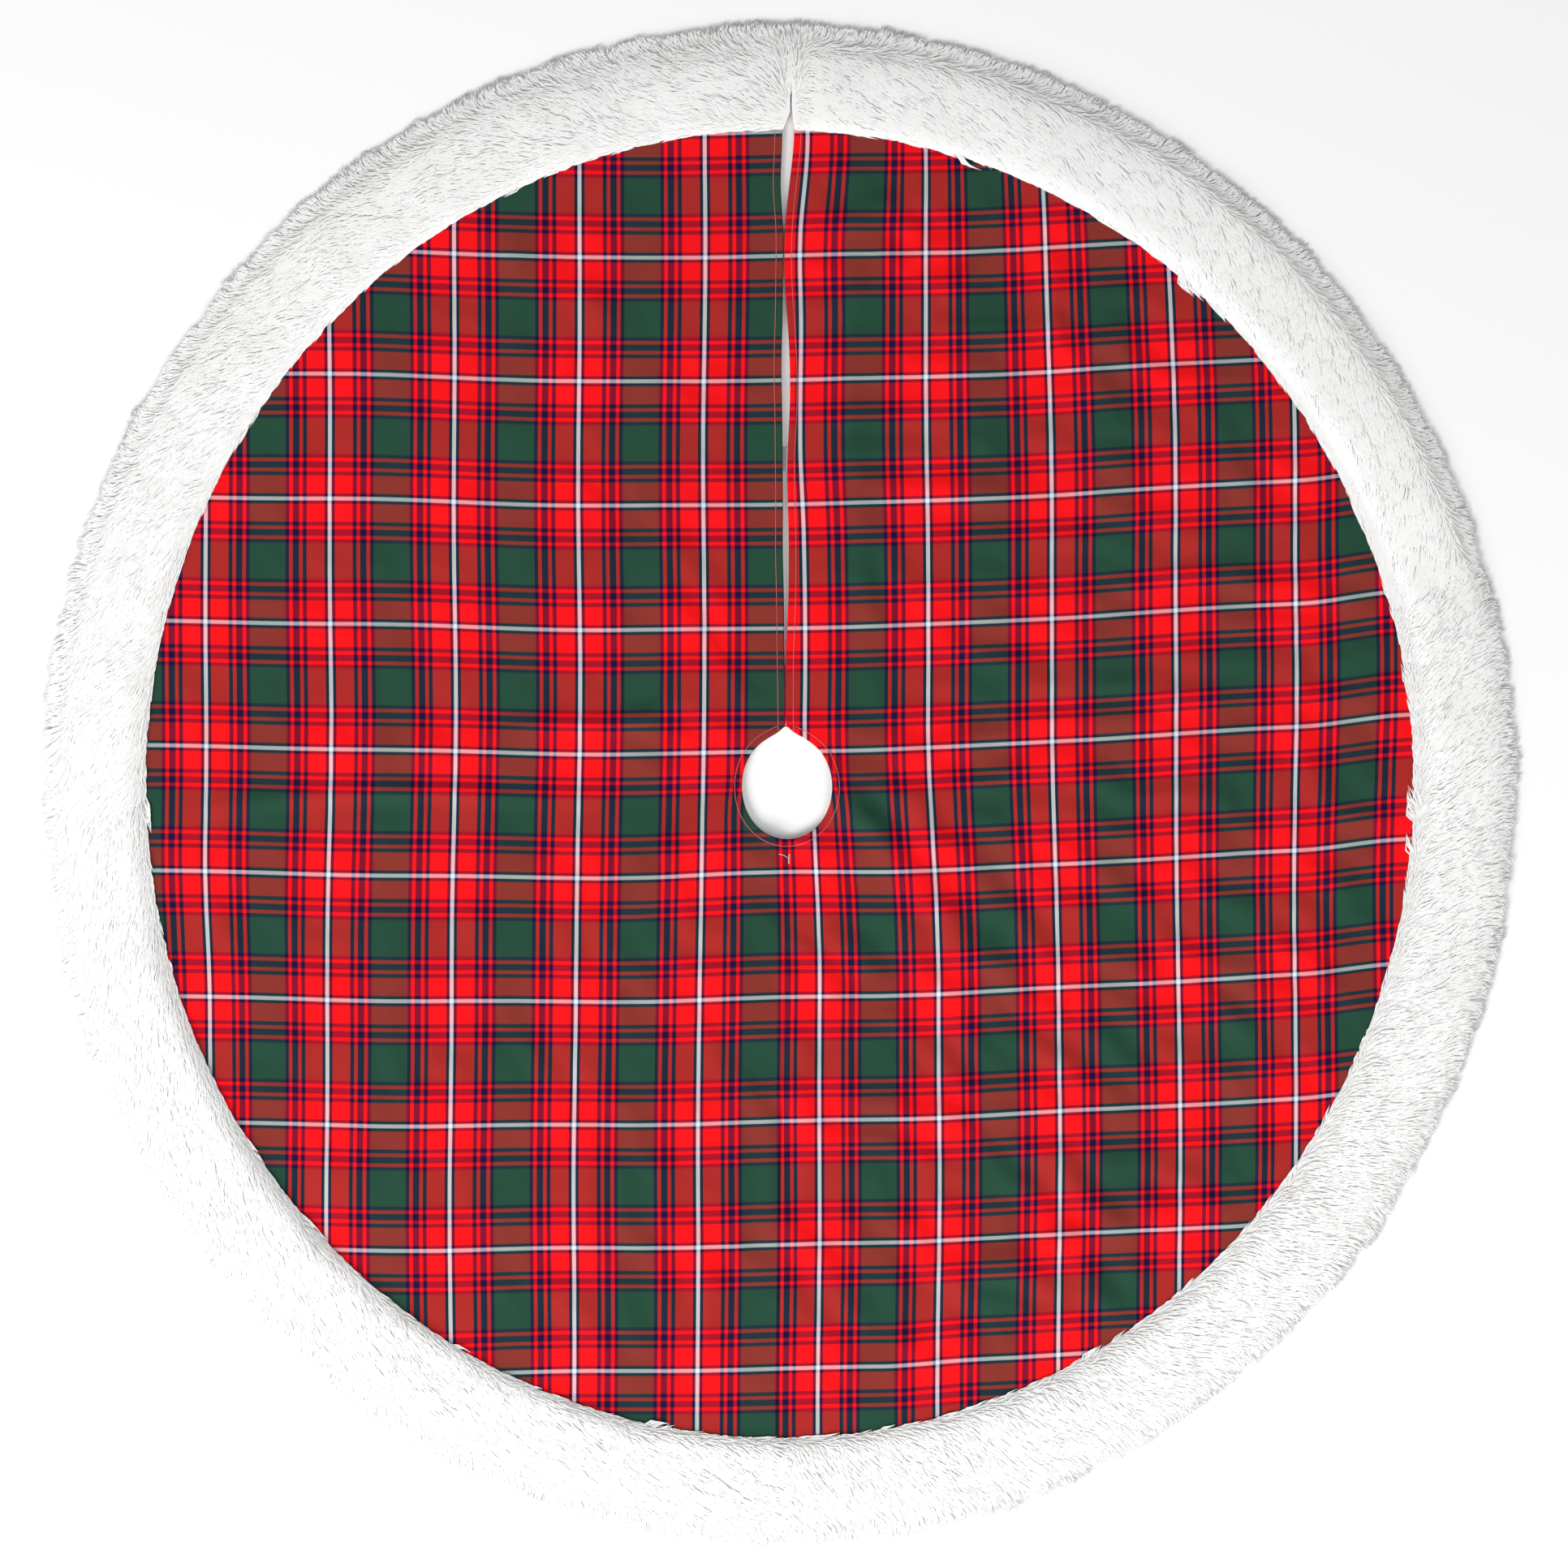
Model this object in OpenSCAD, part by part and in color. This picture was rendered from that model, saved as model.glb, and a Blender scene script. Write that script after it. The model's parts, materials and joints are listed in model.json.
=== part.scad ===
// Round tree skirt: a plaid cloth on a plain lining, with a band of white pile
// fabric round the rim, a slit from the trunk hole to the rim, and three
// hook-and-loop tabs that close the slit. It lies flat on the floor (z = 0) with
// the trunk's axis on Z and the slit along +Y. Angles run anticlockwise from +X.
// The two back quarters fold up along straight lines, as the cloth does when the
// slit is opened round a trunk, so each is a set of pieces of its own.

/* [Skirt] */
// Diameter over the fur band
skirt_d = 1220; // [900:10:1500]
// Diameter of the hole for the trunk
hole_d = 80; // [60:1:120]
// Gap between the two cloth edges of the slit
slit_gap = 4; // [3:0.5:8]
// Gap between the two fur ends at the slit
fur_gap = 2; // [1:0.5:4]

/* [Cloth] */
// Thickness of the plaid cloth
plaid_t = 0.8; // [0.4:0.1:1.5]
// Thickness of the lining
lining_t = 0.6; // [0.3:0.1:1.2]
// Plaid turned under the fur at the seam
seam_turn = 8; // [4:1:15]

/* [Fur band] */
// Width of the band, from the plaid's visible edge to the rim
fur_w = 85; // [60:1:120]
// Height of the pile above the plaid
pile_h = 14; // [8:1:25]
// Width of the lip that hangs over the lining's edge to the floor
lip_w = 12; // [8:1:20]
// How far the lip's foot is set in from the rim
lip_bevel = 3; // [1:0.5:5]

/* [Fold and join lines] */
// Fold line of the left back quarter, where two fur strips join
left_fold = 182; // [160:1:200]
// Fold line of the right back quarter, where two fur strips join
right_fold = 17; // [0:1:30]
// Join of the two fur strips at the front
front_join = 270; // [240:1:300]
// Running gap along each fold line
fold_clear = 0.5; // [0.3:0.1:1]

/* [Closure] */
// Width of the hook-and-loop tape
tape_w = 20; // [12:1:30]
// Thickness of one tape
tape_t = 1.4; // [1:0.1:2]
// Reach of a hook tab under the left edge
tab_reach = 22; // [15:1:35]
// Length of the tab's doubled end, sewn under the right edge
tab_sewn = 10; // [8:1:16]
// Length of a loop patch under the left edge
patch_len = 18; // [12:1:30]
// How far a patch is set in from the slit's edge
patch_inset = 1; // [0.5:0.5:5]
// Distance from the hole's edge to the middle of the inner tab
inner_tab_in = 47; // [20:1:80]
// Distance from the plaid's edge to the middle of the outer tab
outer_tab_in = 82; // [30:1:120]

/* [Stitching] */
// Distance of the topstitching from the cloth's edge
stitch_in = 5.5; // [3:0.5:8]
// Width of the thread
thread_w = 0.5; // [0.3:0.1:0.8]

/* [Tag pin and label] */
// Length of the tag pin's cross bar
bar_len = 8; // [6:0.5:12]
// Diameter of the cross bar
bar_d = 1.1; // [0.8:0.1:1.5]
// Diameter of the pin's filament
filament_d = 0.5; // [0.3:0.1:0.6]
// Length of filament that lies on the plaid
filament_len = 9.5; // [5:0.5:12]
// Distance of the pin's hole from the edge of the trunk's hole
pin_in = 17; // [12:1:60]
// Width of the sewn-in care label
label_w = 30; // [15:1:40]
// Length of the care label
label_l = 45; // [20:1:60]
// Thickness of the folded label
label_t = 0.5; // [0.3:0.1:1]

/* [Hidden] */

SLIT = 90; // angle of the slit
SMOOTH = 180; // facets of a full turn in the preview
seam_clear = 0.3; // gap round an edge that lies in a seam
pierce_clear = 0.1; // gap round the filament where it goes through the cloth
crown_step = 15; // degrees from point to point of the pile's crown
thread_h = 0.35; // how proud the thread lies on the cloth
pin_aside = 4.5; // the pin's hole lies this far to the left
filament_turn = -25; // direction in which the filament lies
bar_turn = -3; // slant of the cross bar, from +Y
paddle = [5, 2, 0.8]; // flat end of the tag pin, under the lining

skirt_r = skirt_d / 2;
hole_r = hole_d / 2;
edge_x = slit_gap / 2;

// Heights of the layers, from the floor up. Tab and patch lie under the lining.
lining_z = 2 * tape_t;
plaid_z = lining_z + lining_t;
cloth_top = plaid_z + plaid_t;
fur_top = cloth_top + pile_h;

// Radii of the seams
plaid_edge_r = skirt_r - fur_w;
turn_r = plaid_edge_r + seam_turn;
lining_r = skirt_r - lip_w;
stitch_r = hole_r + stitch_in;

// Middles of the three tabs along the slit
inner_tab_y = hole_r + inner_tab_in;
outer_tab_y = plaid_edge_r - outer_tab_in;
middle_tab_y = (inner_tab_y + outer_tab_y) / 2;

// Where the filament goes through the cloth, just in front of the hole
pin_at = [-pin_aside, -hole_r - pin_in];

// The fur band's section: a crowned pile that sits on plaid and lining, with a
// lip that hangs past the lining's edge and stands on the floor.
function crown(t) = [skirt_r - fur_w / 2 * (1 - cos(t)), cloth_top + pile_h * sin(t)];
fur_section = concat(
    [for (t = [0 : crown_step : 180]) crown(t)],
    [
        [turn_r + seam_clear, cloth_top],
        [turn_r + seam_clear, plaid_z],
        [lining_r + seam_clear, plaid_z],
        [lining_r + seam_clear, 0],
        [skirt_r - lip_bevel, 0]
    ]
);

// A straight cut along the ray at angle a, w to each side of it
module ray_cut(a, w) {
    if (w > 0) rotate([0, 0, a]) translate([0, -w, -1]) cube([skirt_d, 2 * w, fur_top + 2]);
}

// Turns a section from angle a0 to a1, and trims w0 and w1 off its two ends
module sector(a0, a1, w0, w1) {
    difference() {
        rotate([0, 0, a0]) rotate_extrude(angle = a1 - a0, $fn = SMOOTH) children();
        ray_cut(a0, w0);
        ray_cut(a1, w1);
    }
}

module layer_section(r_out, z, t) {
    translate([hole_r, z]) square([r_out - hole_r, t]);
}

module front_sector() {
    sector(left_fold, right_fold + 360, fold_clear / 2, fold_clear / 2) children();
}

module left_sector(half_gap) {
    sector(SLIT, left_fold, half_gap, fold_clear / 2) children();
}

module right_sector(half_gap) {
    sector(right_fold, SLIT, fold_clear / 2, half_gap) children();
}

module pin_hole() {
    translate([pin_at.x, pin_at.y, 0]) cylinder(d = filament_d + 2 * pierce_clear, h = fur_top, $fn = 24);
}

// Plaid cloth
module plaid_section() { layer_section(turn_r, plaid_z, plaid_t); }

module plaid_front() {
    color("firebrick") difference() {
        front_sector() plaid_section();
        pin_hole();
    }
}
module plaid_back_left() { color("firebrick") left_sector(edge_x) plaid_section(); }
module plaid_back_right() { color("firebrick") right_sector(edge_x) plaid_section(); }

// Lining
module lining_section() { layer_section(lining_r, lining_z, lining_t); }

module lining_front() {
    color("ivory") difference() {
        front_sector() lining_section();
        pin_hole();
    }
}
module lining_back_left() { color("ivory") left_sector(edge_x) lining_section(); }
module lining_back_right() { color("ivory") right_sector(edge_x) lining_section(); }

// Fur band, four strips sewn end to end
module fur_profile() { polygon(fur_section); }

module fur_front_left() {
    color("white") sector(left_fold, front_join, fold_clear / 2, 0) fur_profile();
}
module fur_front_right() {
    color("white") sector(front_join, right_fold + 360, 0, fold_clear / 2) fur_profile();
}
module fur_back_left() { color("white") left_sector(fur_gap / 2) fur_profile(); }
module fur_back_right() { color("white") right_sector(fur_gap / 2) fur_profile(); }

// Topstitching: one thread round the hole, and one up each side of the slit
stitch_x = edge_x + stitch_in;

module thread_section() {
    translate([stitch_r - thread_w / 2, cloth_top]) square([thread_w, thread_h]);
}

// Thread up one side of the slit, side -1 left or 1 right
module slit_thread(side) {
    start_y = sqrt(stitch_r * stitch_r - stitch_x * stitch_x);
    end_y = plaid_edge_r - seam_clear;
    translate([side * stitch_x - thread_w / 2, start_y, cloth_top])
        cube([thread_w, sqrt(end_y * end_y - stitch_x * stitch_x) - start_y, thread_h]);
}

module topstitch_front() {
    color("indianred") front_sector() thread_section();
}
module topstitch_back_left() {
    color("indianred") {
        left_sector(stitch_x - thread_w / 2) thread_section();
        slit_thread(-1);
    }
}
module topstitch_back_right() {
    color("indianred") {
        right_sector(stitch_x - thread_w / 2) thread_section();
        slit_thread(1);
    }
}

// Hook tab: its doubled end is sewn under the right edge, and its single tape
// reaches across the slit under the left edge.
module hook_tab(y) {
    color("gainsboro") translate([0, y - tape_w / 2, 0]) {
        translate([edge_x, 0, 0]) cube([tab_sewn, tape_w, lining_z]);
        translate([-tab_reach, 0, 0]) cube([tab_reach + edge_x, tape_w, tape_t]);
    }
}
module hook_tab_inner() { hook_tab(inner_tab_y); }
module hook_tab_middle() { hook_tab(middle_tab_y); }
module hook_tab_outer() { hook_tab(outer_tab_y); }

// Loop patch, sewn under the left edge over the tab
module loop_patch(y) {
    color("whitesmoke") translate([-edge_x - patch_inset - patch_len, y - tape_w / 2, tape_t])
        cube([patch_len, tape_w, tape_t]);
}
module loop_patch_inner() { loop_patch(inner_tab_y); }
module loop_patch_middle() { loop_patch(middle_tab_y); }
module loop_patch_outer() { loop_patch(outer_tab_y); }

// Tag pin: cross bar and filament on the plaid, and a flat end under the lining
module tag_pin() {
    bar_z = cloth_top + bar_d / 2;
    color("white") translate([pin_at.x, pin_at.y, 0]) {
        translate([0, 0, bar_z]) rotate([0, 0, filament_turn]) {
            rotate([0, 90, 0]) cylinder(d = filament_d, h = filament_len, $fn = 24);
            translate([filament_len, 0, 0]) rotate([90, 0, bar_turn - filament_turn])
                cylinder(d = bar_d, h = bar_len, center = true, $fn = 24);
            sphere(d = filament_d, $fn = 24);
        }
        translate([0, 0, lining_z - paddle.z])
            cylinder(d = filament_d, h = bar_z - lining_z + paddle.z, $fn = 24);
        translate([-paddle.x / 2, -paddle.y / 2, lining_z - paddle.z]) cube(paddle);
    }
}

// Care label: a blank folded ribbon, sewn under the lining beside the slit
module care_label() {
    label_y = (inner_tab_y + middle_tab_y - label_w) / 2;
    color("snow") translate([edge_x + tab_sewn, label_y, lining_z - label_t])
        cube([label_l, label_w, label_t]);
}

plaid_front();
plaid_back_left();
plaid_back_right();
lining_front();
lining_back_left();
lining_back_right();
fur_front_left();
fur_front_right();
fur_back_left();
fur_back_right();
topstitch_front();
topstitch_back_left();
topstitch_back_right();
hook_tab_inner();
hook_tab_middle();
hook_tab_outer();
loop_patch_inner();
loop_patch_middle();
loop_patch_outer();
tag_pin();
care_label();
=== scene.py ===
# %% [markdown]
# # A plaid tree skirt with a white pile rim
# A tree skirt is a round cloth that hides the foot of a tree. It has a hole for the trunk, a slit
# that lets the trunk in from the side, and a band of long white pile sewn round its rim. We build
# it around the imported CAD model, which gives every size, and which this first cell loads.

# %% Load the frame
import json
import math

import bmesh
import bpy
import numpy as np
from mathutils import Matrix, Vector
from mathutils.bvhtree import BVHTree


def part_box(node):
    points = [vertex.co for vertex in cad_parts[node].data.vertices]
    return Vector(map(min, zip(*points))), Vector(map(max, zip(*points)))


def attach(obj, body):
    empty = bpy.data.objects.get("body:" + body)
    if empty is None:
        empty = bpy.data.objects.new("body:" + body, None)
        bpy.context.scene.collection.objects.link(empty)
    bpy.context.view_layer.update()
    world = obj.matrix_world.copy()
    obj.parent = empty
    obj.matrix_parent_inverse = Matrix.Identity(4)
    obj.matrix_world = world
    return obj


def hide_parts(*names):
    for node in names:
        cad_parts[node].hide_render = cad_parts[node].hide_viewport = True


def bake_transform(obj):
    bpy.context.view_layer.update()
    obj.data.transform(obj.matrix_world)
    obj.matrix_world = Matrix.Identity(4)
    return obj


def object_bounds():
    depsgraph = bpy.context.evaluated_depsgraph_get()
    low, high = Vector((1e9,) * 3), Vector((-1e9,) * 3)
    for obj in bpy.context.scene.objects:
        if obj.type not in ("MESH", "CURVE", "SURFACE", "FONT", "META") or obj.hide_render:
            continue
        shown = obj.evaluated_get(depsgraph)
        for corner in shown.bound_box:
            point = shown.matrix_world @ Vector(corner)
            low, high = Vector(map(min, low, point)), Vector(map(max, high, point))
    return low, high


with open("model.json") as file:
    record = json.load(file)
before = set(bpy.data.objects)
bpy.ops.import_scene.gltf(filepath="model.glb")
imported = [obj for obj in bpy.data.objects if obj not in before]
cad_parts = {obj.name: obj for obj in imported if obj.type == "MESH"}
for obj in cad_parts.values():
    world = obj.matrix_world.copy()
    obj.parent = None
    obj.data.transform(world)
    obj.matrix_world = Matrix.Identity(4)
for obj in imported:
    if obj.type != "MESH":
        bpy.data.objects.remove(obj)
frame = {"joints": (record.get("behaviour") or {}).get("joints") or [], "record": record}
CAD_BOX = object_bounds()
print("CAD box", [round(v, 4) for corner in CAD_BOX for v in corner])

# %% [markdown]
# ## Sizes
# Everything that the CAD model fixes is read from it: the rim, the hole, the heights of the layers
# and the two lines along which the back quarters fold. Only what the CAD model leaves out, such as
# the length of a hair, is set here.

# %% Sizes from the frame
MM = 0.001
record = frame["record"]
mounts = {mount["name"]: mount for mount in record["mounts"]}
HOLE_R = mounts["trunk_hole"]["dims"]["r_mm"] * MM
RIM_R = CAD_BOX[1][0]
LINING_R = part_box("lining_front")[1][0]
TURN_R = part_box("plaid_front")[1][0]
SEAM = 8 * MM
EDGE_R = TURN_R - SEAM
LINING_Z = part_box("lining_front")[0][2]
LINING_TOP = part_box("lining_front")[1][2]
CLOTH_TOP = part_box("plaid_front")[1][2]
PILE_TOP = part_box("fur_front_left")[1][2]
BODIES = {-1: "left_flap", 1: "right_flap"}
SIDE_NAMES = {-1: "left", 1: "right"}


def fold_normal(side):
    """The direction square to a side's fold line, towards the quarter that folds."""
    name = BODIES[side] + "_fold"
    axis = next(joint["axis"] for joint in frame["joints"] if joint["name"] == name)
    return Vector((-axis[1], axis[0], 0)).normalized()


def fold_angle(side):
    """The angle of a side's fold line from +X, anticlockwise, as the rim is followed."""
    normal = fold_normal(side)
    line = Vector((-normal.y, normal.x)) if side < 0 else Vector((normal.y, -normal.x))
    return math.degrees(math.atan2(line.y, line.x)) % 360


print("rim", round(RIM_R, 4), "plaid edge", round(EDGE_R, 4))
print("folds at", [round(fold_angle(side), 1) for side in (-1, 1)])

# %% [markdown]
# ## Helpers
# Blender's operators act on what is selected, so each piece starts from an empty selection. A
# finished piece gets its material and replaces the plain CAD solid it stands for, and some pieces
# ride on a body of the frame.

# %% Helpers for pieces
rng = np.random.default_rng(48)


def deselect():
    if bpy.context.object and bpy.context.object.mode != "OBJECT":
        bpy.ops.object.mode_set(mode="OBJECT")
    bpy.ops.object.select_all(action="DESELECT")


def only(ob):
    """Makes ob the one selected and active object."""
    deselect()
    ob.select_set(True)
    bpy.context.view_layer.objects.active = ob


def new_piece(name, verts, faces):
    """A smooth mesh object from points and faces."""
    mesh = bpy.data.meshes.new(name)
    mesh.from_pydata([tuple(v) for v in verts], [], [tuple(int(i) for i in f) for f in faces])
    mesh.update()
    ob = bpy.data.objects.new(name, mesh)
    bpy.context.scene.collection.objects.link(ob)
    mesh.shade_smooth()
    return ob


def apply_modifiers(ob):
    only(ob)
    for modifier in list(ob.modifiers):
        bpy.ops.object.modifier_apply(modifier=modifier.name)


def settle(ob):
    """Moves an object's place into its mesh."""
    only(ob)
    bpy.ops.object.transform_apply(location=True, rotation=True, scale=True)


def edit_all():
    """Opens the active object in edit mode, with everything selected."""
    bpy.ops.object.mode_set(mode="EDIT")
    bpy.ops.mesh.select_all(action="SELECT")


def leave_edit():
    bpy.ops.object.mode_set(mode="OBJECT")


def read(items, key, width=1, kind=float):
    """A number, or a row of them, from each item of one of a mesh's lists, as an array."""
    values = np.empty(len(items) * width, kind)
    items.foreach_get(key, values)
    return values.reshape(-1, width) if width > 1 else values


def points_of(ob):
    return read(ob.data.vertices, "co", 3)


def corner_points(ob):
    """The number of the point at each face corner."""
    return read(ob.data.loops, "vertex_index", kind=int)


def write_uv(ob, name, places):
    """Makes a UV map from a place for each face corner."""
    layer = ob.data.uv_layers.new(name=name)
    layer.uv.foreach_set("vector", places.astype(np.float32).ravel())


def mark_points(ob, name, values):
    """Gives each point a number that a material can read."""
    attribute = ob.data.attributes.new(name, "FLOAT", "POINT")
    attribute.data.foreach_set("value", values.astype(np.float32))


def radius(places):
    return np.hypot(places[:, 0], places[:, 1])


def unit(rows):
    """Each row of an array, made one long."""
    return rows / np.linalg.norm(rows, axis=1)[:, None]


def move_points(ob, places):
    ob.data.vertices.foreach_set("co", np.asarray(places, float).ravel())
    ob.data.update()


def finish_piece(ob, material, slot, body, *nodes):
    """Dresses a piece, and ties it to the frame."""
    ob.data.materials.clear()
    ob.data.materials.append(material)
    if body:
        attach(ob, body)
    if nodes:
        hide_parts(*nodes)
    print(ob.name, "faces", len(ob.data.polygons))


BEND_START = -8 * MM
BEND_END = 62 * MM


def bend_at_fold(ob):
    """Moves a piece's placing into its mesh."""
    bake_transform(ob)


# %% [markdown]
# ## Floor, light and camera
# The skirt is looked at from straight above, from far off, so that the circle stays a circle. The
# light is that of a white studio: a bright surround, a weak fill, and one big soft lamp from the
# lower left that models the folds of the cloth and the lie of the pile.

# %% Floor, light and camera
FRAME_WIDTH = 1279 * MM
CAMERA_HEIGHT = 6.0
SENSOR = 36.0
SURROUND_STRENGTH = 0.45
FLOOR_SIZE = 14.0
FLOOR_GREY = 0.93
# Place and size in metres, and power in watts
WINDOW_LAMP = ((-2.7, -3.1, 2.6), 2.6, 228)
FILL_LAMP = ((2.0, -2.8, 4.0), 3.0, 84)


def plain_material(name, colour, roughness):
    material = bpy.data.materials.new(name)
    material.use_nodes = True
    shader = material.node_tree.nodes["Principled BSDF"]
    shader.inputs["Base Color"].default_value = (*colour, 1)
    shader.inputs["Roughness"].default_value = roughness
    return material


def area_lamp(name, place, size, power):
    lamp = bpy.data.lights.new(name, "AREA")
    lamp.energy = power
    lamp.size = size
    ob = bpy.data.objects.new(name, lamp)
    ob.location = place
    ob.rotation_euler = (-Vector(place)).to_track_quat("-Z", "Y").to_euler()
    bpy.context.scene.collection.objects.link(ob)


def make_studio():
    scene = bpy.context.scene
    scene.view_settings.view_transform = "Standard"
    world = bpy.data.worlds.new("white_surround")
    world.use_nodes = True
    world.node_tree.nodes["Background"].inputs["Color"].default_value = (1, 1, 1, 1)
    world.node_tree.nodes["Background"].inputs["Strength"].default_value = SURROUND_STRENGTH
    scene.world = world
    deselect()
    bpy.ops.mesh.primitive_plane_add(size=FLOOR_SIZE, location=(0, 0, 0))
    floor = bpy.context.object
    floor.name = "floor"
    floor.data.materials.append(plain_material("pale_floor", (FLOOR_GREY,) * 3, 0.9))
    area_lamp("window_lamp", *WINDOW_LAMP)
    area_lamp("fill_lamp", *FILL_LAMP)
    camera = bpy.data.cameras.new("camera")
    camera.sensor_width = SENSOR
    camera.lens = SENSOR * CAMERA_HEIGHT / FRAME_WIDTH
    camera.clip_end = 60
    ob = bpy.data.objects.new("camera", camera)
    ob.location = (0, 0, CAMERA_HEIGHT)
    scene.collection.objects.link(ob)
    scene.camera = ob


make_studio()

# %% [markdown]
# ## The lie of the cloth
# The skirt has just been unfolded from its packet. It is held round the rim by the pile band, and a
# little slack is left inside, more on the right than on the left, so the cloth lies in low ripples.
# A cloth simulation finds them: a round sheet, pinned at its rim, whose weave grows by a percent
# while it lies on the floor. Its heights are then read wherever a sheet or a stitch needs them.

# %% Ripples by cloth simulation
SIM_CELLS = 112
SIM_R = 560 * MM
SIM_FRAMES = 32
SLACK_LEAST = 0.002
SLACK_MOST = 0.013
RIPPLE_GAIN = 1.7
RIPPLE_CAP = 9 * MM


def start_unevenness(x, y):
    """The low bumps that a cloth still has when it is spread, in metres."""
    waves = np.sin(31 * x + 9 * y) + np.sin(14 * x - 23 * y + 1) + np.sin(42 * x + 37 * y + 2)
    return 0.8 * MM * waves + 1.6 * MM


def flat_sheet():
    deselect()
    bpy.ops.mesh.primitive_grid_add(
        x_subdivisions=SIM_CELLS, y_subdivisions=SIM_CELLS, size=2 * SIM_R, location=(0, 0, 0)
    )
    sheet = bpy.context.object
    sheet.name = "ripple_sheet"
    shape = bmesh.new()
    shape.from_mesh(sheet.data)
    far, near = EDGE_R + 2 * SEAM, 0.7 * HOLE_R
    outside = [v for v in shape.verts if not near <= v.co.xy.length <= far]
    bmesh.ops.delete(shape, geom=outside, context="VERTS")
    slit = [
        e for e in shape.edges
        if all(abs(v.co.x) < 1e-6 and v.co.y > 0 for v in e.verts)
    ]
    bmesh.ops.split_edges(shape, edges=slit)
    shape.to_mesh(sheet.data)
    shape.free()
    places = points_of(sheet)
    places[:, 2] = start_unevenness(places[:, 0], places[:, 1])
    move_points(sheet, places)
    return sheet


def hold_rim(sheet):
    """Pins the rim, and marks where the cloth is slack."""
    places = points_of(sheet)
    pinned = sheet.vertex_groups.new(name="rim")
    slack = sheet.vertex_groups.new(name="taut")
    for i, (x, y, _) in enumerate(places):
        if math.hypot(x, y) > EDGE_R:
            pinned.add([i], 1.0, "REPLACE")
        right = 0.5 + 0.5 * math.tanh((x - 40 * MM) / (120 * MM))
        slack.add([i], 1 - right, "REPLACE")


def simulate_ripples():
    sheet = flat_sheet()
    hold_rim(sheet)
    deselect()
    bpy.ops.mesh.primitive_plane_add(size=2, location=(0, 0, 0))
    table = bpy.context.object
    table.modifiers.new("collision", "COLLISION")
    table.collision.thickness_outer = 0.5 * MM
    cloth = sheet.modifiers.new("cloth", "CLOTH")
    settings = cloth.settings
    settings.quality = 6
    settings.mass = 0.05
    settings.tension_stiffness = 12
    settings.compression_stiffness = 12
    settings.shear_stiffness = 6
    settings.bending_stiffness = 1.2
    settings.vertex_group_mass = "rim"
    settings.vertex_group_shrink = "taut"
    settings.shrink_min = -SLACK_MOST
    settings.shrink_max = -SLACK_LEAST
    cloth.collision_settings.distance_min = 1.0 * MM
    cloth.collision_settings.use_self_collision = False
    scene = bpy.context.scene
    scene.frame_start = 1
    scene.frame_end = SIM_FRAMES
    cloth.point_cache.frame_end = SIM_FRAMES
    for step in range(1, SIM_FRAMES + 1):
        scene.frame_set(step)
    apply_modifiers(sheet)
    scene.frame_set(1)
    bpy.data.objects.remove(table)
    smoother = sheet.modifiers.new("round", "SUBSURF")
    smoother.levels = 1
    smoother.render_levels = 1
    apply_modifiers(sheet)
    return sheet


def ripple_reader():
    """A function that gives the simulated sheet's height at x, y."""
    sheet = simulate_ripples()
    places = points_of(sheet)
    print("ripples from", places[:, 2].min(), "to", places[:, 2].max(), "mean", places[:, 2].mean())
    tree = BVHTree.FromPolygons(
        [tuple(p) for p in places], [tuple(f.vertices) for f in sheet.data.polygons]
    )
    low = float(np.percentile(places[:, 2], 5))
    bpy.data.objects.remove(sheet)

    def height(x, y):
        hit = tree.ray_cast((x, y, 1), (0, 0, -1))[0]
        return min(max(hit.z - low, 0) * RIPPLE_GAIN, RIPPLE_CAP) if hit else 0.0

    return height


ripple = ripple_reader()

# %% [markdown]
# The fold lines of the packet and the pull of the hole's hem add a few sharper creases. Each is a
# low ridge along a short line: its middle, its direction, half its length, its width and its height.

# %% Creases
CREASES = [
    # x, y, direction, half length, width, height, all in mm but the direction
    (-322, -12, 1, 150, 8, 3.4),
    (-300, 34, 5, 130, 16, 2.4),
    (-150, 53, 11, 60, 8, 3.0),
    (-95, 60, 62, 60, 12, 3.0),
    (74, -54, -60, 75, 13, 5.5),
    (120, -60, -75, 95, 17, 4.0),
    (-98, -66, 222, 65, 14, 4.0),
    (-30, -120, 262, 70, 16, 2.6),
    (150, 330, 97, 80, 20, 4.4),
    (225, 385, 100, 45, 9, 4.2),
    (262, 300, 100, 120, 24, 3.4),
    (60, 250, 91, 190, 12, 2.4),
    (-90, 250, 88, 170, 20, 2.4),
    (262, -368, 14, 120, 11, 4.2),
    (330, -390, 34, 80, 10, 4.0),
    (366, -341, 62, 60, 9, 3.6),
    (205, -410, -20, 90, 13, 3.6),
    (400, -120, 82, 130, 22, 3.4),
    (-330, -300, 40, 130, 28, 2.4),
    (-200, 420, -35, 90, 18, 2.6),
]


def crease_height(x, y):
    """Height of the creases at x, y, in metres."""
    total = 0.0
    for cx, cy, turn, half, width, height in CREASES:
        along = math.cos(math.radians(turn)), math.sin(math.radians(turn))
        dx, dy = x / MM - cx, y / MM - cy
        reach = (dx * along[0] + dy * along[1]) / half
        across = (dy * along[0] - dx * along[1] + 6 * math.sin(2.2 * reach + cx)) / width
        total += height * math.exp(-across * across - reach ** 4)
    return total * MM


def smooth_step(low, high, value):
    """0 at low and 1 at high, with a smooth climb between them."""
    t = min(max((value - low) / (high - low), 0), 1)
    return t * t * (3 - 2 * t)


def hump(value, middle, width):
    """A smooth bump, 1 at its middle and near 0 two widths away."""
    return math.exp(-(((value - middle) / width) ** 2))


def lie(x, y):
    """How far the cloth stands above its flat lie at x, y."""
    held = smooth_step(EDGE_R + 4 * MM, EDGE_R - 45 * MM, math.hypot(x, y))
    return held * (ripple(x, y) + crease_height(x, y))


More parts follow.
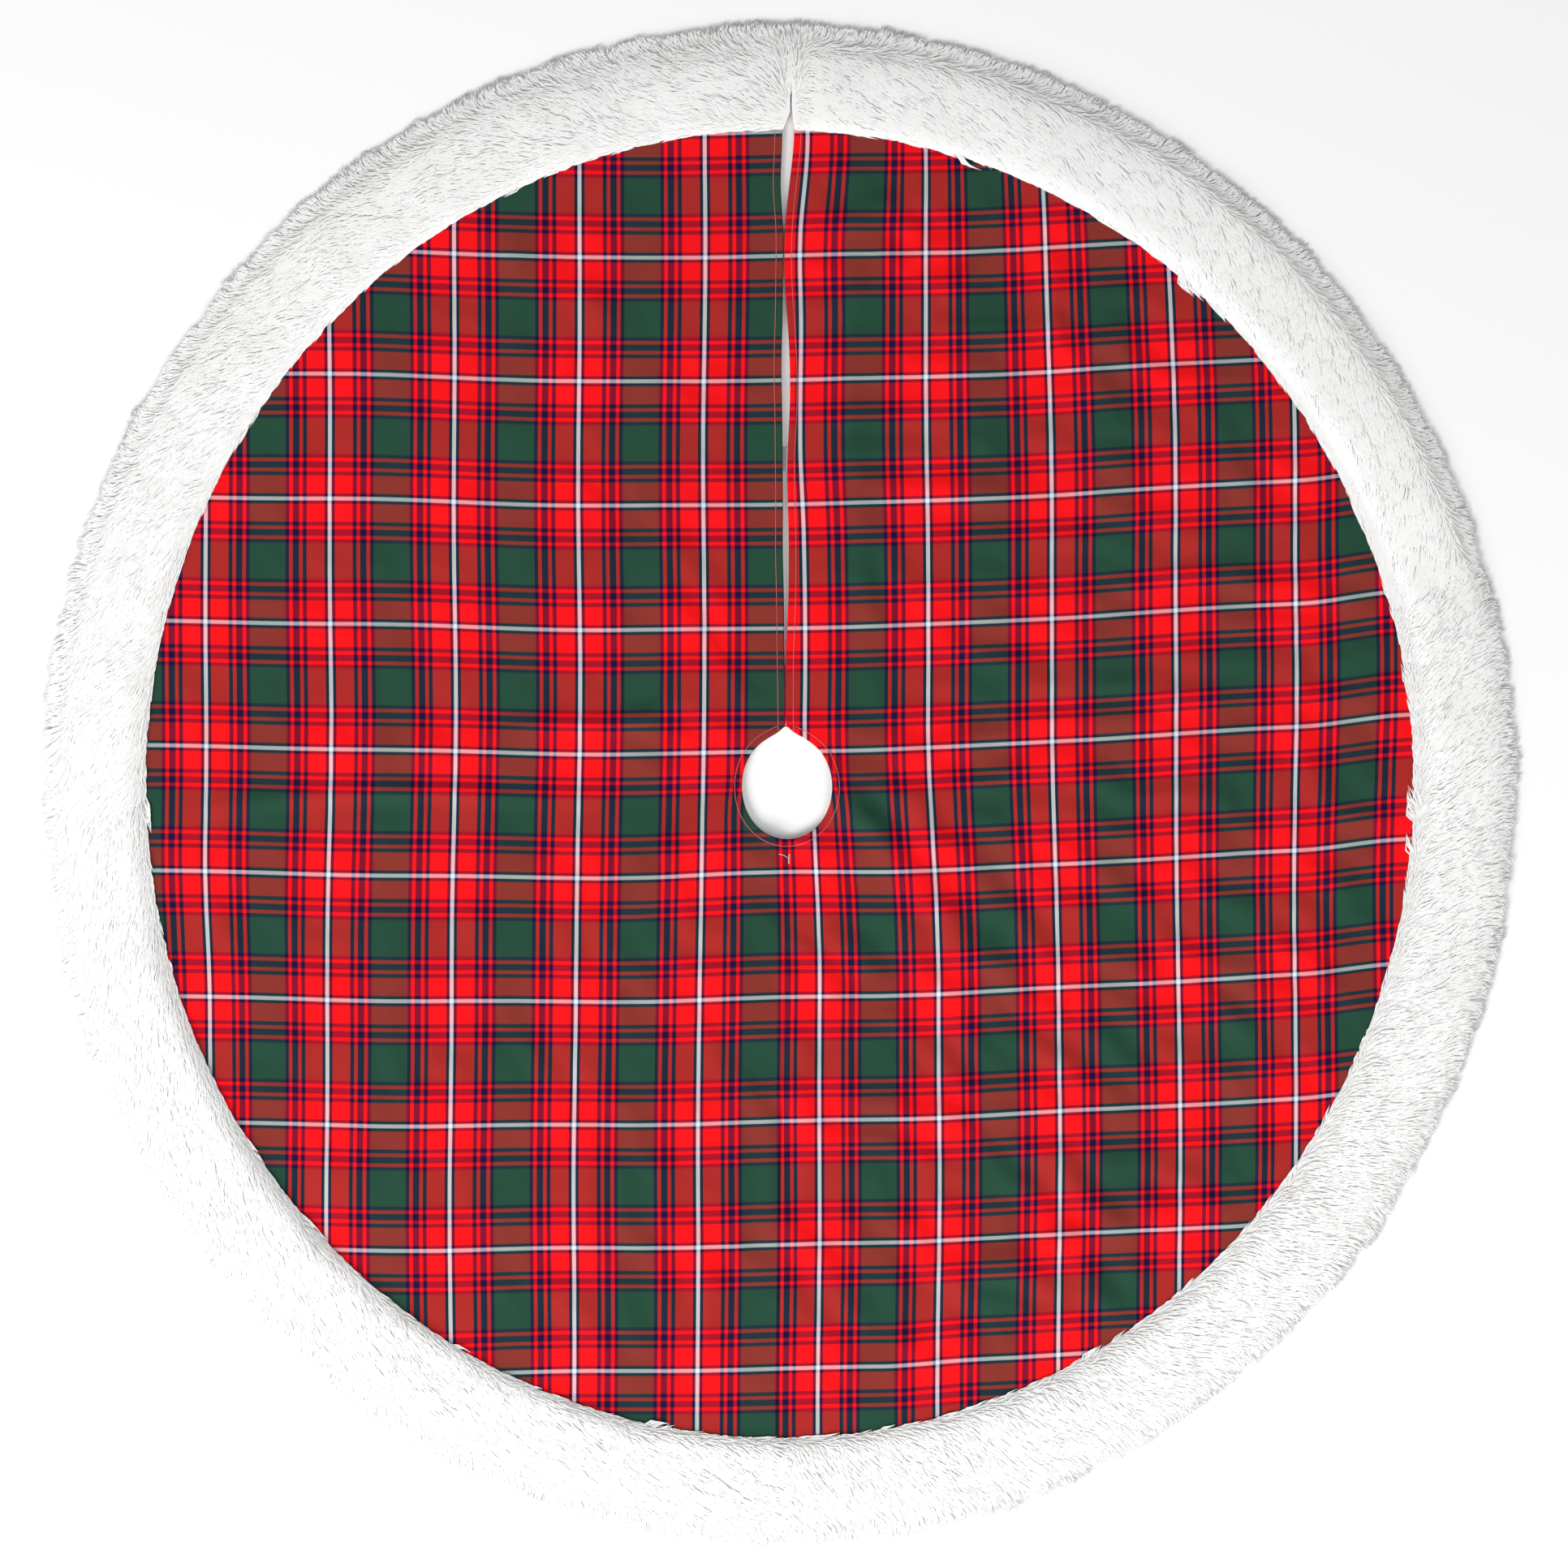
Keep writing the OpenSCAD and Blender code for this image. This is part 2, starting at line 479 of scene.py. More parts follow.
# %% [markdown]
# ## Out of round
# A soft ring laid by hand is never a true circle. This one is drawn out a little from front to back,
# and lies a few millimetres to the left of its hole. One function moves the points of every cloth and
# pile piece alike, so that the pieces stay together.

# %% Out of round
DRAWN_OUT = 0.0155
SHIFT_LEFT = -3.5 * MM
HOLE_SHIFT = (2.5 * MM, -2.5 * MM)


def laid_by_hand(places):
    """Moves an array of points from the true round to the way the skirt lies."""
    moved = np.array(places, float)
    reach = np.clip((radius(moved) - 0.06) / 0.3, 0, 1)
    beside_slit = np.clip(moved[:, 1] / 0.06, 0, 1) * np.exp(-((moved[:, 0] / 0.05) ** 2))
    moved[:, 0] += reach * (SHIFT_LEFT * (1 - beside_slit) - DRAWN_OUT * moved[:, 0])
    moved[:, 1] += reach * DRAWN_OUT * moved[:, 1]
    moved[:, 0] += (1 - reach) * HOLE_SHIFT[0] * (1 - 0.5 * beside_slit)
    moved[:, 1] += (1 - reach) * HOLE_SHIFT[1]
    return moved


# %% [markdown]
# ## The sheets
# Plaid and lining are each one round sheet, cut in two halves here down the front, because a mesh
# can bend across one joint only. A half is a fan of points between the hole and the rim, so its rings
# follow the round edges and its first spoke follows the slit. Its edges at the slit and at the hole
# are turned under, as a maker turns a hem.

# %% A half sheet
HEM = 10 * MM
STITCH_IN = 5.5 * MM
# How far in a turned edge's points lie, as a share of the hem, and how far towards the other side
TURN = [(1.0, 1.0), (0.5, 1.0), (0.07, 1.0), (0.015, 0.8), (0.0, 0.5), (0.015, 0.2), (0.07, 0.0)]
HEM_TOP = 0.12


def slit_edge(side, y):
    """Distance of a slit edge from the slit's middle. The three tabs draw the edges together, they
    gape between the tabs, and beyond the last one the right edge is pulled aside."""
    right = side > 0
    near = (2.9 if right else 1.4) * hump(y, 0.185, 0.075)
    far = (4.6 if right else 2.1) * hump(y, 0.325, 0.06)
    if right:
        rim = 8.4 * smooth_step(0.425, 0.535, y)
    else:
        rim = 2.7 * hump(y, 0.483, 0.032) + 0.9 * smooth_step(0.49, 0.53, y)
    wave = 0.2 * math.sin(y * 38 + side) + 0.12 * math.sin(y * 85 + 2 * side)
    return (0.6 + near + far + rim + wave * smooth_step(0.05, 0.1, y)) * MM


def hole_radius(angle):
    """The hole's hem, by the angle from +Y: longer than wide, with a point towards the slit."""
    point = math.exp(-abs(angle) / 0.13)
    oval = 1.0 + 0.07 * math.cos(2 * angle)
    return HOLE_R * (oval + 0.165 * point)


def half_sheet(name, side, outer_r, face_z, drop, rise, step, inset=0.0):
    """Half of a round sheet with turned edges. face_z is the height of its outer face, drop is how
    far the turned edge lies below it (or above), and rise(x, y) adds the lie of the cloth."""
    ring_count = round((outer_r - HOLE_R) / step)
    spoke_count = round(math.pi * outer_r / step)
    rings = list(TURN) + [(None, 0.0)] * (ring_count + 1)
    width = len(TURN) + spoke_count + 1
    places = []
    drops = []
    for i, (ring_in, ring_down) in enumerate(rings):
        for k in range(width):
            edge_in, edge_down = TURN[k] if k < len(TURN) else (HEM_TOP, 0.0)
            turn = max(k - len(TURN), 0) / spoke_count
            near_hole = hole_radius(turn * math.pi) + inset
            if i < len(TURN):
                r = near_hole + ring_in * HEM
            else:
                share = (i - len(TURN)) / ring_count
                r = near_hole + HEM_TOP * HEM + share * (outer_r - near_hole - HEM_TOP * HEM)
            gap = slit_edge(side, r) + inset + edge_in * HEM
            first = math.asin(min(gap / r, 1))
            angle = first + turn * (math.pi - first)
            places.append((side * r * math.sin(angle), r * math.cos(angle), 0))
            drops.append(max(ring_down, edge_down))
    places = laid_by_hand(places)
    for place, down in zip(places, drops):
        place[2] = face_z - down * drop + rise(place[0], place[1])
    faces = []
    for i in range(len(rings) - 1):
        for k in range(width - 1):
            a = i * width + k
            quad = (a, a + 1, a + width + 1, a + width)
            faces.append(quad if (side < 0) == (drop > 0) else quad[::-1])
    return new_piece(name, places, faces)


def thicken(ob, thickness):
    solid = ob.modifiers.new("thickness", "SOLIDIFY")
    solid.thickness = thickness
    solid.offset = -1
    apply_modifiers(ob)


def finish_half(ob, side, kind, thickness, material):
    """Thickens a half sheet, dresses it, and moves its placing into its mesh."""
    thicken(ob, thickness)
    finish_piece(ob, material, kind, None, kind + "_front", kind + "_back_" + SIDE_NAMES[side])
    bend_at_fold(ob)
    return ob


# %% [markdown]
# ## The plaid's yarns
# A plaid is woven from bands of coloured yarn that cross bands in the same order. So the pattern is
# one list of yarn counts, mirrored about its ends, used once for the upright yarns and once for the
# level ones. The cloth isn't cut and sewn perfectly true: the right half is skewed by three degrees,
# and the hems of the slit take a strip out of the pattern. A UV map holds each point's place in the
# weave, counted in repeats, so that the shader needs only that map.

# %% Places in the weave
REPEAT = 100.8 * MM
FIRST_WARP = -72.2 * MM
FIRST_WEFT = 23.8 * MM
HEM_SHIFT = {-1: 5.5 * MM, 1: -12.7 * MM}


def warp_shift(x, y):
    """How far the upright yarns lie to the right of their true places."""
    back = smooth_step(-0.18, 0.06, y)
    left = HEM_SHIFT[-1] * back * (1 + x / 0.62) + 2.4 * MM
    left += 6 * MM * smooth_step(-0.04, -0.18, y) * smooth_step(-0.36, -0.48, x)
    right = HEM_SHIFT[1] * (1 - (1 - back) * min(max(1 - x / 0.45, 0), 1))
    right -= 0.10 * max(y - 0.2, 0) ** 2 * smooth_step(0.05, 0.25, x)
    right += (2 * hump(y, 0.09, 0.10) - 3.5 * smooth_step(0.33, 0.43, x)) * MM
    pull = 5 * smooth_step(0.45, 0.53, y) - 2 * smooth_step(0.20, 0.28, y) - 2 * hump(y, 0.43, 0.04)
    right += pull * hump(x, 0, 0.09) * MM
    reach = (1 + 75 * (1 - smooth_step(-0.03, 0.045, y))) * MM
    return left + (right - left) * smooth_step(-reach, reach, x)


def weft_lift(x, y):
    """How far the level yarns lie above their true places."""
    lift = 0.0205 * x + 0.0372 * (math.hypot(x, 0.06) - 0.06)
    lift += (3.2 * hump(x, 0, 0.1) + 2.6 * hump(x, 0, 0.09) * hump(y, -0.09, 0.07)) * MM
    lift += 0.010 * y * smooth_step(-0.15, -0.35, x)
    lift += 4 * MM * smooth_step(0.08, 0.16, x) * smooth_step(-0.33, -0.45, y)
    return lift + 5 * MM * smooth_step(0.42, 0.50, x)


def weave_place(x, y):
    """Place in the weave, in repeats, of a point of the plaid."""
    wave = 0.7 * MM * (math.sin(9 * y + 5 * x) + 0.7 * math.sin(23 * y - 8 * x + 1))
    sway = 0.7 * MM * (math.sin(7 * x - 6 * y + 2) + 0.6 * math.sin(29 * x + 7 * y))
    along = x - warp_shift(x, y) - FIRST_WARP + wave
    up = y - weft_lift(x, y) - FIRST_WEFT + sway
    return along / REPEAT, up / REPEAT


def lay_weave(ob):
    """Writes the weave's places to a UV map."""
    places = np.array([weave_place(x, y) for x, y, _ in points_of(ob)])
    write_uv(ob, "weave", places[corner_points(ob)])


# %% [markdown]
# ## The plaid's finish
# Where two yarns of different colours cross, a twill shows more of the upright yarn, in slanting
# ribs. The ribs are one wave across the weave that shifts the mix of the two colours. The mix is
# done on display values, and a Gamma node brings it back to linear light.

# %% Plaid material
YARNS = {
    "white": (0.89, 0.875, 0.89),
    "navy": (0.082, 0.057, 0.22),
    "red": (0.95, 0.07, 0.098),
    "green": (0.147, 0.282, 0.221),
}
SETT = [
    ("white", 3), ("navy", 5), ("red", 29), ("navy", 6), ("red", 6),
    ("navy", 10), ("red", 6), ("navy", 6), ("green", 29),
]
RIBS = 68.0
UPRIGHT_SHARE = 0.585


class Nodes:
    """A short way to add and join shader nodes."""

    def __init__(self, tree):
        self.tree = tree

    def join(self, node, inputs):
        """Links or sets a node's inputs."""
        for key, value in dict(inputs).items():
            if isinstance(value, bpy.types.NodeSocket):
                self.tree.links.new(value, node.inputs[key])
            else:
                node.inputs[key].default_value = value

    def add(self, kind, inputs=(), **settings):
        node = self.tree.nodes.new(kind)
        for key, value in settings.items():
            setattr(node, key, value)
        self.join(node, inputs)
        return node

    def place(self):
        return self.add("ShaderNodeTexCoord").outputs["Object"]

    def bump(self, height, strength, depth):
        """A shading normal from a height, with the depth in millimetres."""
        inputs = {"Height": height, "Strength": strength, "Distance": depth * MM}
        return self.add("ShaderNodeBump", inputs).outputs[0]

    def math(self, operation, a, b=0.0, c=0.0):
        return self.add("ShaderNodeMath", {0: a, 1: b, 2: c}, operation=operation).outputs[0]

    def mix(self, amount, a, b, blend="MIX"):
        node = self.add("ShaderNodeMix", {0: amount, 6: a, 7: b}, data_type="RGBA", blend_type=blend)
        return node.outputs[2]

    def grey(self, low, high, amount):
        """A grey between two levels."""
        return self.mix(amount, (low, low, low, 1), (high, high, high, 1))


def new_group(name, inputs, outputs):
    """A shader node group with named sockets. Returns it with its input and output nodes."""
    group = bpy.data.node_groups.new(name, "ShaderNodeTree")
    for label, kind, value in inputs:
        socket = group.interface.new_socket(name=label, in_out="INPUT", socket_type=kind)
        socket.default_value = value
    for label, kind in outputs:
        group.interface.new_socket(name=label, in_out="OUTPUT", socket_type=kind)
    nodes = Nodes(group)
    return group, nodes, nodes.add("NodeGroupInput"), nodes.add("NodeGroupOutput")


def yarn_bands(nodes, place):
    """The yarn colour at a place in the weave, as display values."""
    near = nodes.math("MULTIPLY", nodes.math("PINGPONG", place, 0.5), 2.0)
    ramp = nodes.add("ShaderNodeValToRGB", {0: near})
    ramp.color_ramp.interpolation = "CONSTANT"
    total = sum(count for _, count in SETT)
    at = 0
    for i, (yarn, count) in enumerate(SETT):
        stops = ramp.color_ramp.elements
        stop = stops[0] if i == 0 else stops.new(at / total)
        stop.position = at / total
        stop.color = (*YARNS[yarn], 1)
        at += count
    ramp.color_ramp.elements.remove(ramp.color_ramp.elements[-1])
    return ramp.outputs[0]


def whiteness(nodes, colour):
    """1 where a band's yarn is white. White yarn is thicker, and hides more of what it crosses."""
    green = nodes.add("ShaderNodeSeparateColor", {0: colour}).outputs[1]
    return nodes.math("GREATER_THAN", green, 0.6)


def principled(name):
    """A new material, its node helper and its shader."""
    material = bpy.data.materials.new(name)
    material.use_nodes = True
    return material, Nodes(material.node_tree), material.node_tree.nodes["Principled BSDF"]


def soft_noise_group():
    """Slow change in tone over a cloth, and fine fuzz, from Object coordinates."""
    group, nodes, given, out = new_group(
        "cloth_wear",
        [("Patch Scale", "NodeSocketFloat", 9.0), ("Fuzz Scale", "NodeSocketFloat", 900.0)],
        [("Patch", "NodeSocketFloat"), ("Fuzz", "NodeSocketFloat")],
    )
    place = nodes.place()
    patch = nodes.add("ShaderNodeTexNoise", {"Vector": place, "Scale": given.outputs[0], "Detail": 3.0})
    fuzz = nodes.add("ShaderNodeTexNoise", {"Vector": place, "Scale": given.outputs[1], "Detail": 2.0})
    nodes.join(out, {"Patch": patch.outputs[0], "Fuzz": fuzz.outputs[0]})
    return group


CLOTH_WEAR = soft_noise_group()


def add_wear(nodes, patch_scale, fuzz_scale):
    scales = {"Patch Scale": patch_scale, "Fuzz Scale": fuzz_scale}
    node = nodes.add("ShaderNodeGroup", scales, node_tree=CLOTH_WEAR)
    return node.outputs["Patch"], node.outputs["Fuzz"]


def plaid_material():
    material, nodes, shader = principled("brushed_plaid")
    weave = nodes.add("ShaderNodeUVMap", uv_map="weave").outputs[0]
    split = nodes.add("ShaderNodeSeparateXYZ", {0: weave})
    upright = yarn_bands(nodes, split.outputs[0])
    level = yarn_bands(nodes, split.outputs[1])
    slant = nodes.math("ADD", split.outputs[0], split.outputs[1])
    rib = nodes.math("SINE", nodes.math("MULTIPLY", slant, RIBS * 2 * math.pi))
    patch, fuzz = add_wear(nodes, 7.0, 1400.0)
    share = nodes.math("MULTIPLY_ADD", rib, -0.3, 1 - UPRIGHT_SHARE - 0.12)
    share = nodes.math("MULTIPLY_ADD", fuzz, 0.24, share)
    share = nodes.math("MULTIPLY_ADD", whiteness(nodes, level), 0.17, share)
    share = nodes.math("MULTIPLY_ADD", whiteness(nodes, upright), -0.16, share)
    colour = nodes.mix(share, upright, level)
    tone = nodes.mix(1.0, colour, nodes.grey(0.955, 1.035, patch), "MULTIPLY")
    linear = nodes.add("ShaderNodeGamma", {0: tone, 1: 2.2}).outputs[0]
    height = nodes.math("MULTIPLY_ADD", fuzz, 0.7, nodes.math("MULTIPLY", rib, 0.5))
    looks = {"Base Color": linear, "Normal": nodes.bump(height, 0.35, 0.12), "Roughness": 0.82}
    nodes.join(shader, {**looks, "Specular IOR Level": 0.15})
    return material


PLAID = plaid_material()

# %% [markdown]
# ## The plaid
# The plaid's halves are laid in the weave before they get their thickness, so both faces carry the
# same yarns. Near its hems the plaid lies on its own turned edge, and stands a little higher.

# %% Plaid halves
PLAID_FACE = CLOTH_TOP - 0.2 * MM
PLAID_THICKNESS = 0.5 * MM
HEM_DROP = 1.2 * MM


def plaid_rise(x, y):
    """How far the plaid's face stands above its flat lie."""
    in_from_slit = abs(x) if y > 0 else 1.0
    in_from_edge = max(min(math.hypot(x, y) - HOLE_R, in_from_slit), 0)
    padding = hump(in_from_edge, 0, 14 * MM)
    dent = hump(in_from_edge, STITCH_IN, 2.5 * MM)
    near_slit = smooth_step(4 * MM, 45 * MM, in_from_slit)
    return lie(x, y) * (0.25 + 0.75 * near_slit) + (0.9 * padding - 0.25 * dent) * MM


def sheet_area(outer_r):
    return math.pi * (outer_r ** 2 - HOLE_R ** 2) / 2


def make_plaid(side):
    ob = half_sheet("plaid_" + SIDE_NAMES[side], side, TURN_R, PLAID_FACE, HEM_DROP, plaid_rise, 5 * MM)
    lay_weave(ob)
    return finish_half(ob, side, "plaid", PLAID_THICKNESS, PLAID)


plaids = [make_plaid(side) for side in (-1, 1)]
print("plaid area of a half", round(sheet_area(TURN_R), 4))

# %% [markdown]
# ## The lining
# Under the plaid lies a lining of thin off-white cloth, sewn to it round the hole and along the slit.
# It's made the same way, face down, with its edges turned up towards the plaid, and it reaches out
# under the pile band. A fine plain weave and some soft creases are all its finish.

# %% Lining
LINING_THICKNESS = 0.25 * MM
LINING_INSET = 0.5 * MM


def lining_rise(x, y):
    """Shallow waves, which fade towards the edges and the things sewn under the slit's edges."""
    r = math.hypot(x, y)
    free = smooth_step(HOLE_R + 10 * MM, HOLE_R + 60 * MM, r)
    free *= smooth_step(LINING_R - 10 * MM, LINING_R - 90 * MM, r)
    if y > 0:
        free *= smooth_step(60 * MM, 110 * MM, abs(x))
    waves = free * 0.35 * MM * (math.sin(26 * x + 8 * y) + math.sin(11 * x - 24 * y + 2) - 1)
    past_fold = fold_normal(-1 if x < 0 else 1).dot(Vector((x, y, 0)))
    at_fold = smooth_step(-30 * MM, BEND_START, past_fold) * smooth_step(90 * MM, BEND_END, past_fold)
    return waves - 0.7 * MM * at_fold * smooth_step(HOLE_R, HOLE_R + 30 * MM, r)


def lining_material():
    material, nodes, shader = principled("lining_cloth")
    place = nodes.place()
    yarns = []
    for axis in (0, 1):
        turn = (0, 0, math.pi / 2 * axis)
        turned = nodes.add("ShaderNodeMapping", {"Vector": place, "Rotation": turn}).outputs[0]
        wave = nodes.add("ShaderNodeTexWave", {"Vector": turned, "Scale": 130.0, "Distortion": 0.4})
        yarns.append(wave.outputs[1])
    patch, fuzz = add_wear(nodes, 5.0, 700.0)
    weave = nodes.math("MULTIPLY", yarns[0], yarns[1])
    tone = nodes.math("MULTIPLY_ADD", weave, 0.05, nodes.math("MULTIPLY", patch, 0.06))
    colour = nodes.mix(tone, (0.80, 0.79, 0.76, 1), (0.0, 0.0, 0.0, 1))
    height = nodes.math("ADD", weave, nodes.math("MULTIPLY", fuzz, 0.5))
    looks = {"Base Color": colour, "Normal": nodes.bump(height, 0.3, 0.1), "Roughness": 0.8}
    nodes.join(shader, {**looks, "Specular IOR Level": 0.3})
    return material


LINING = lining_material()


def make_lining(side):
    name = "lining_" + SIDE_NAMES[side]
    face_z = LINING_Z + 0.05 * MM
    ob = half_sheet(name, side, LINING_R, face_z, -0.75 * MM, lining_rise, 6 * MM, LINING_INSET)
    return finish_half(ob, side, "lining", LINING_THICKNESS, LINING)


linings = [make_lining(side) for side in (-1, 1)]

# %% [markdown]
# ## The pile band's body
# The band is a knitted backing with long pile, cut in four strips and sewn end to end. Each strip is
# made as a rounded body, spun from its cross section through the strip's angle, which fills the
# space, and a coat of tufts over it, which gives the look. Comb says how a strip's pile was stroked:
# along the rim, anticlockwise if positive, and outwards.

# %% Strips of the band
FRONT_JOIN = 270
SLIT_JOIN_X = 6.5 * MM
END_GAP = 0.4 * MM
SLIT_GAP = 0.6 * MM
BAND_IN = EDGE_R + 0.3 * MM
BAND_OUT = RIM_R - 8 * MM
BAND_FOOT = 5.2 * MM
SLIT_JOIN = 90 - math.degrees(SLIT_JOIN_X / RIM_R)
STRIPS = {
    # start and end angle, side, comb along, comb out, unruliness in degrees
    "fur_back_left": (SLIT_JOIN, fold_angle(-1), -1, 0.80, 0.42, 26),
    "fur_front_left": (fold_angle(-1), FRONT_JOIN, -1, 0.92, 0.30, 12),
    "fur_front_right": (FRONT_JOIN, fold_angle(1) + 360, 1, 0.45, 0.62, 15),
    "fur_back_right": (fold_angle(1), SLIT_JOIN, 1, -0.90, -0.40, 11),
}


def band_height(r, x, y):
    """Height of the body's top at radius r, with lumps by place. Works on arrays."""
    share = (r - BAND_IN) / (BAND_OUT - BAND_IN)
    inner = 1 - np.clip(1 - share / 0.26, 0, 1) ** 2.2
    outer = 1 - np.clip((share - 0.42) / 0.58, 0, 1) ** 2.4
    lumps = np.sin(47 * x + 31 * y) + np.sin(39 * x - 58 * y + 1) + 0.7 * np.sin(96 * x + 83 * y + 2)
    body = (5.2 + (8.2 + 0.5 * lumps) * inner * outer) * MM
    edge = np.clip((share - 0.9) / 0.1, 0, 1)
    return body * (1 - edge) + 3.6 * MM * edge


def band_section():
    """The body's cross section, as radius and height, with its top still level."""
    top = [(BAND_IN + (BAND_OUT - BAND_IN) * t, BAND_FOOT) for t in np.linspace(0, 1, 18)]
    step = LINING_R + 0.4 * MM
    under = [
        (BAND_OUT, 0.3 * MM), (BAND_OUT - 2 * MM, 0.0), (step + 1.5 * MM, 0.0), (step, 0.6 * MM),
        (step, LINING_TOP + 0.3 * MM), (TURN_R + 4 * MM, LINING_TOP + 0.3 * MM),
        (TURN_R + 1 * MM, PLAID_FACE + 1.1 * MM),
    ]
    return top + under


def open_corner(places, side):
    """Draws the strips' inner corners apart at the slit, the left one further than the right."""
    places = np.array(places, float)
    r = radius(places)
    past = side * (places[:, 0] - SLIT_JOIN_X)
    reach, depth = (7.0 * MM, 13 * MM) if side < 0 else (2.6 * MM, 16 * MM)
    amount = np.clip(1 - (r - BAND_IN) / depth, 0, 1.1) * np.exp(-np.clip(past, 0, None) / (10 * MM))
    places[:, 0] += side * reach * amount * (places[:, 1] > 0)
    return places


def spin_body(name):
    """The strip's rounded body: its section as a face, spun about the hole's axis."""
    start, end, side = STRIPS[name][:3]
    trim = [SLIT_GAP if a == SLIT_JOIN else END_GAP for a in (start, end)]
    start = math.radians(start) + trim[0] / EDGE_R
    end = math.radians(end) - trim[1] / EDGE_R
    section = band_section()
    deselect()
    bpy.ops.mesh.primitive_circle_add(vertices=len(section), radius=0.01, fill_type="NGON")
    ob = bpy.context.object
    ob.name = name.replace("fur", "pile")
    for vert, (r, z) in zip(ob.data.vertices, section):
        vert.co = (r * math.cos(start), r * math.sin(start), z)
    steps = round((end - start) * RIM_R / (5.5 * MM))
    edit_all()
    bpy.ops.mesh.spin(steps=steps, angle=start - end, center=(0, 0, 0), axis=(0, 0, 1))
    bpy.ops.mesh.select_all(action="SELECT")
    bpy.ops.mesh.remove_doubles(threshold=1e-6)
    leave_edit()
    places = points_of(ob)
    r = radius(places)
    top = np.abs(places[:, 2] - BAND_FOOT) < 0.01 * MM
    places[top, 2] = band_height(r, places[:, 0], places[:, 1])[top]
    move_points(ob, laid_by_hand(open_corner(places, side)))
    edit_all()
    bpy.ops.mesh.normals_make_consistent(inside=False)
    leave_edit()
    ob.data.shade_smooth()
    return ob


# %% [markdown]
# ## The pile
# One tuft is a three-sided spike: a cone cut once across, so that it can bend. It is copied many
# thousand times. A copy starts on the body, lies over along its strip's comb, and ends just above
# the body again, and its neighbours in a clump lean to the same tip. Tufts near the rim point out as
# a fringe, and some near the plaid hang over its edge. A tuft has its own cell in the strip's UV map.

# %% One tuft
TUFTS = 17800
TUFT_WIDTH = 0.8 * MM
TUFT_LENGTH = 23 * MM
CLUMP = 13 * MM
BEND_AT = 0.42
MIDDLE_WIDTH = 1.45
FLATNESS = 0.35
SOFTNESS = 0.86
STEEPNESS = 2.8


def tuft_pattern():
    """Points of a tuft one metre long and a metre wide along +Z, its faces, and their UV places."""
    deselect()
    bpy.ops.mesh.primitive_cone_add(vertices=3, radius1=1, radius2=0, depth=1, location=(0, 0, 0.5))
    cone = bpy.context.object
    settle(cone)
    edit_all()
    bpy.ops.mesh.bisect(plane_co=(0, 0, BEND_AT), plane_no=(0, 0, 1))
    leave_edit()
    points = points_of(cone)
    middle = np.abs(points[:, 2] - BEND_AT) < 1e-4
    points[middle, :2] *= MIDDLE_WIDTH
    faces = [tuple(face.vertices) for face in cone.data.polygons]
    turns = np.degrees(np.arctan2(points[:, 1], points[:, 0])) % 360
    spread = []
    for face in faces:
        if max(points[i, 2] for i in face) < 1e-6:
            spread.append([(0.1 + 0.8 * n / 2, 0.02 + 0.05 * (n % 2)) for n in range(3)])
            continue
        ring = [i for i in face if points[i, 2] < 0.999]
        angles = [turns[i] for i in ring]
        wraps = max(angles) - min(angles) > 180
        shifted = {i: turns[i] + (360 if wraps and turns[i] < 180 else 0) for i in ring}
        mean = sum(shifted.values()) / len(ring)
        base = min(shifted.values())
        left = base // 120 * 120
        spread.append([
            (0.04 + 0.92 * ((shifted.get(i, mean) - base) / 120 + round(left / 120) % 3) / 3,
             0.12 + 0.84 * points[i, 2])
            for i in face
        ])
    bpy.data.objects.remove(cone)
    return points, faces, spread


TUFT_POINTS, TUFT_FACES, TUFT_UV = tuft_pattern()
print("a tuft has", len(TUFT_POINTS), "points and", len(TUFT_FACES), "faces")

# %% A coat of tufts


def wander(x, y, scale, seed):
    """Smooth change over the band, from -1 to 1."""
    a = np.sin(scale * (x + y * 0.6) + seed) + np.sin(scale * (y * 1.3 - x * 0.7) + 2 * seed)
    return 0.5 * a * np.cos(0.6 * scale * (x - y) + 3 * seed)


def roots_for(start, end):
    """Places of the tufts' roots over a strip, as radius and angle, evenly but not in rows."""
    length = (end - start) * 0.57
    width = BAND_OUT - BAND_IN
    across = round(math.sqrt(TUFTS * width / length))
    along = TUFTS // across
    i, j = np.meshgrid(np.arange(across), np.arange(along), indexing="ij")
    share = (i.ravel() + rng.uniform(0, 1, i.size)) / across
    turn = (j.ravel() + rng.uniform(0, 1, j.size)) / along
    return BAND_IN + width * share, start + (end - start) * turn, share


def lean_to_clumps(x, y):
    """For each root, the way to the nearest clump's middle, and the clump's own chance numbers."""
    cell = np.stack([np.floor(x / CLUMP), np.floor(y / CLUMP)], 1).astype(int)
    best = np.full(len(x), np.inf)
    way = np.zeros((len(x), 2))
    luck = np.zeros((len(x), 3))
    for dx in (-1, 0, 1):
        for dy in (-1, 0, 1):
            near = cell + (dx, dy)
            seed = near[:, 0] * 12.9898 + near[:, 1] * 78.233
            chance = np.stack([np.modf(np.abs(np.sin(seed + k) * 43758.5453))[0] for k in range(5)], 1)
            middle = (near + chance[:, :2]) * CLUMP
            gap = middle - np.stack([x, y], 1)
            distance = (gap ** 2).sum(1)
            closer = distance < best
            best[closer] = distance[closer]
            way[closer] = gap[closer]
            luck[closer] = chance[closer, 2:]
    return way, luck


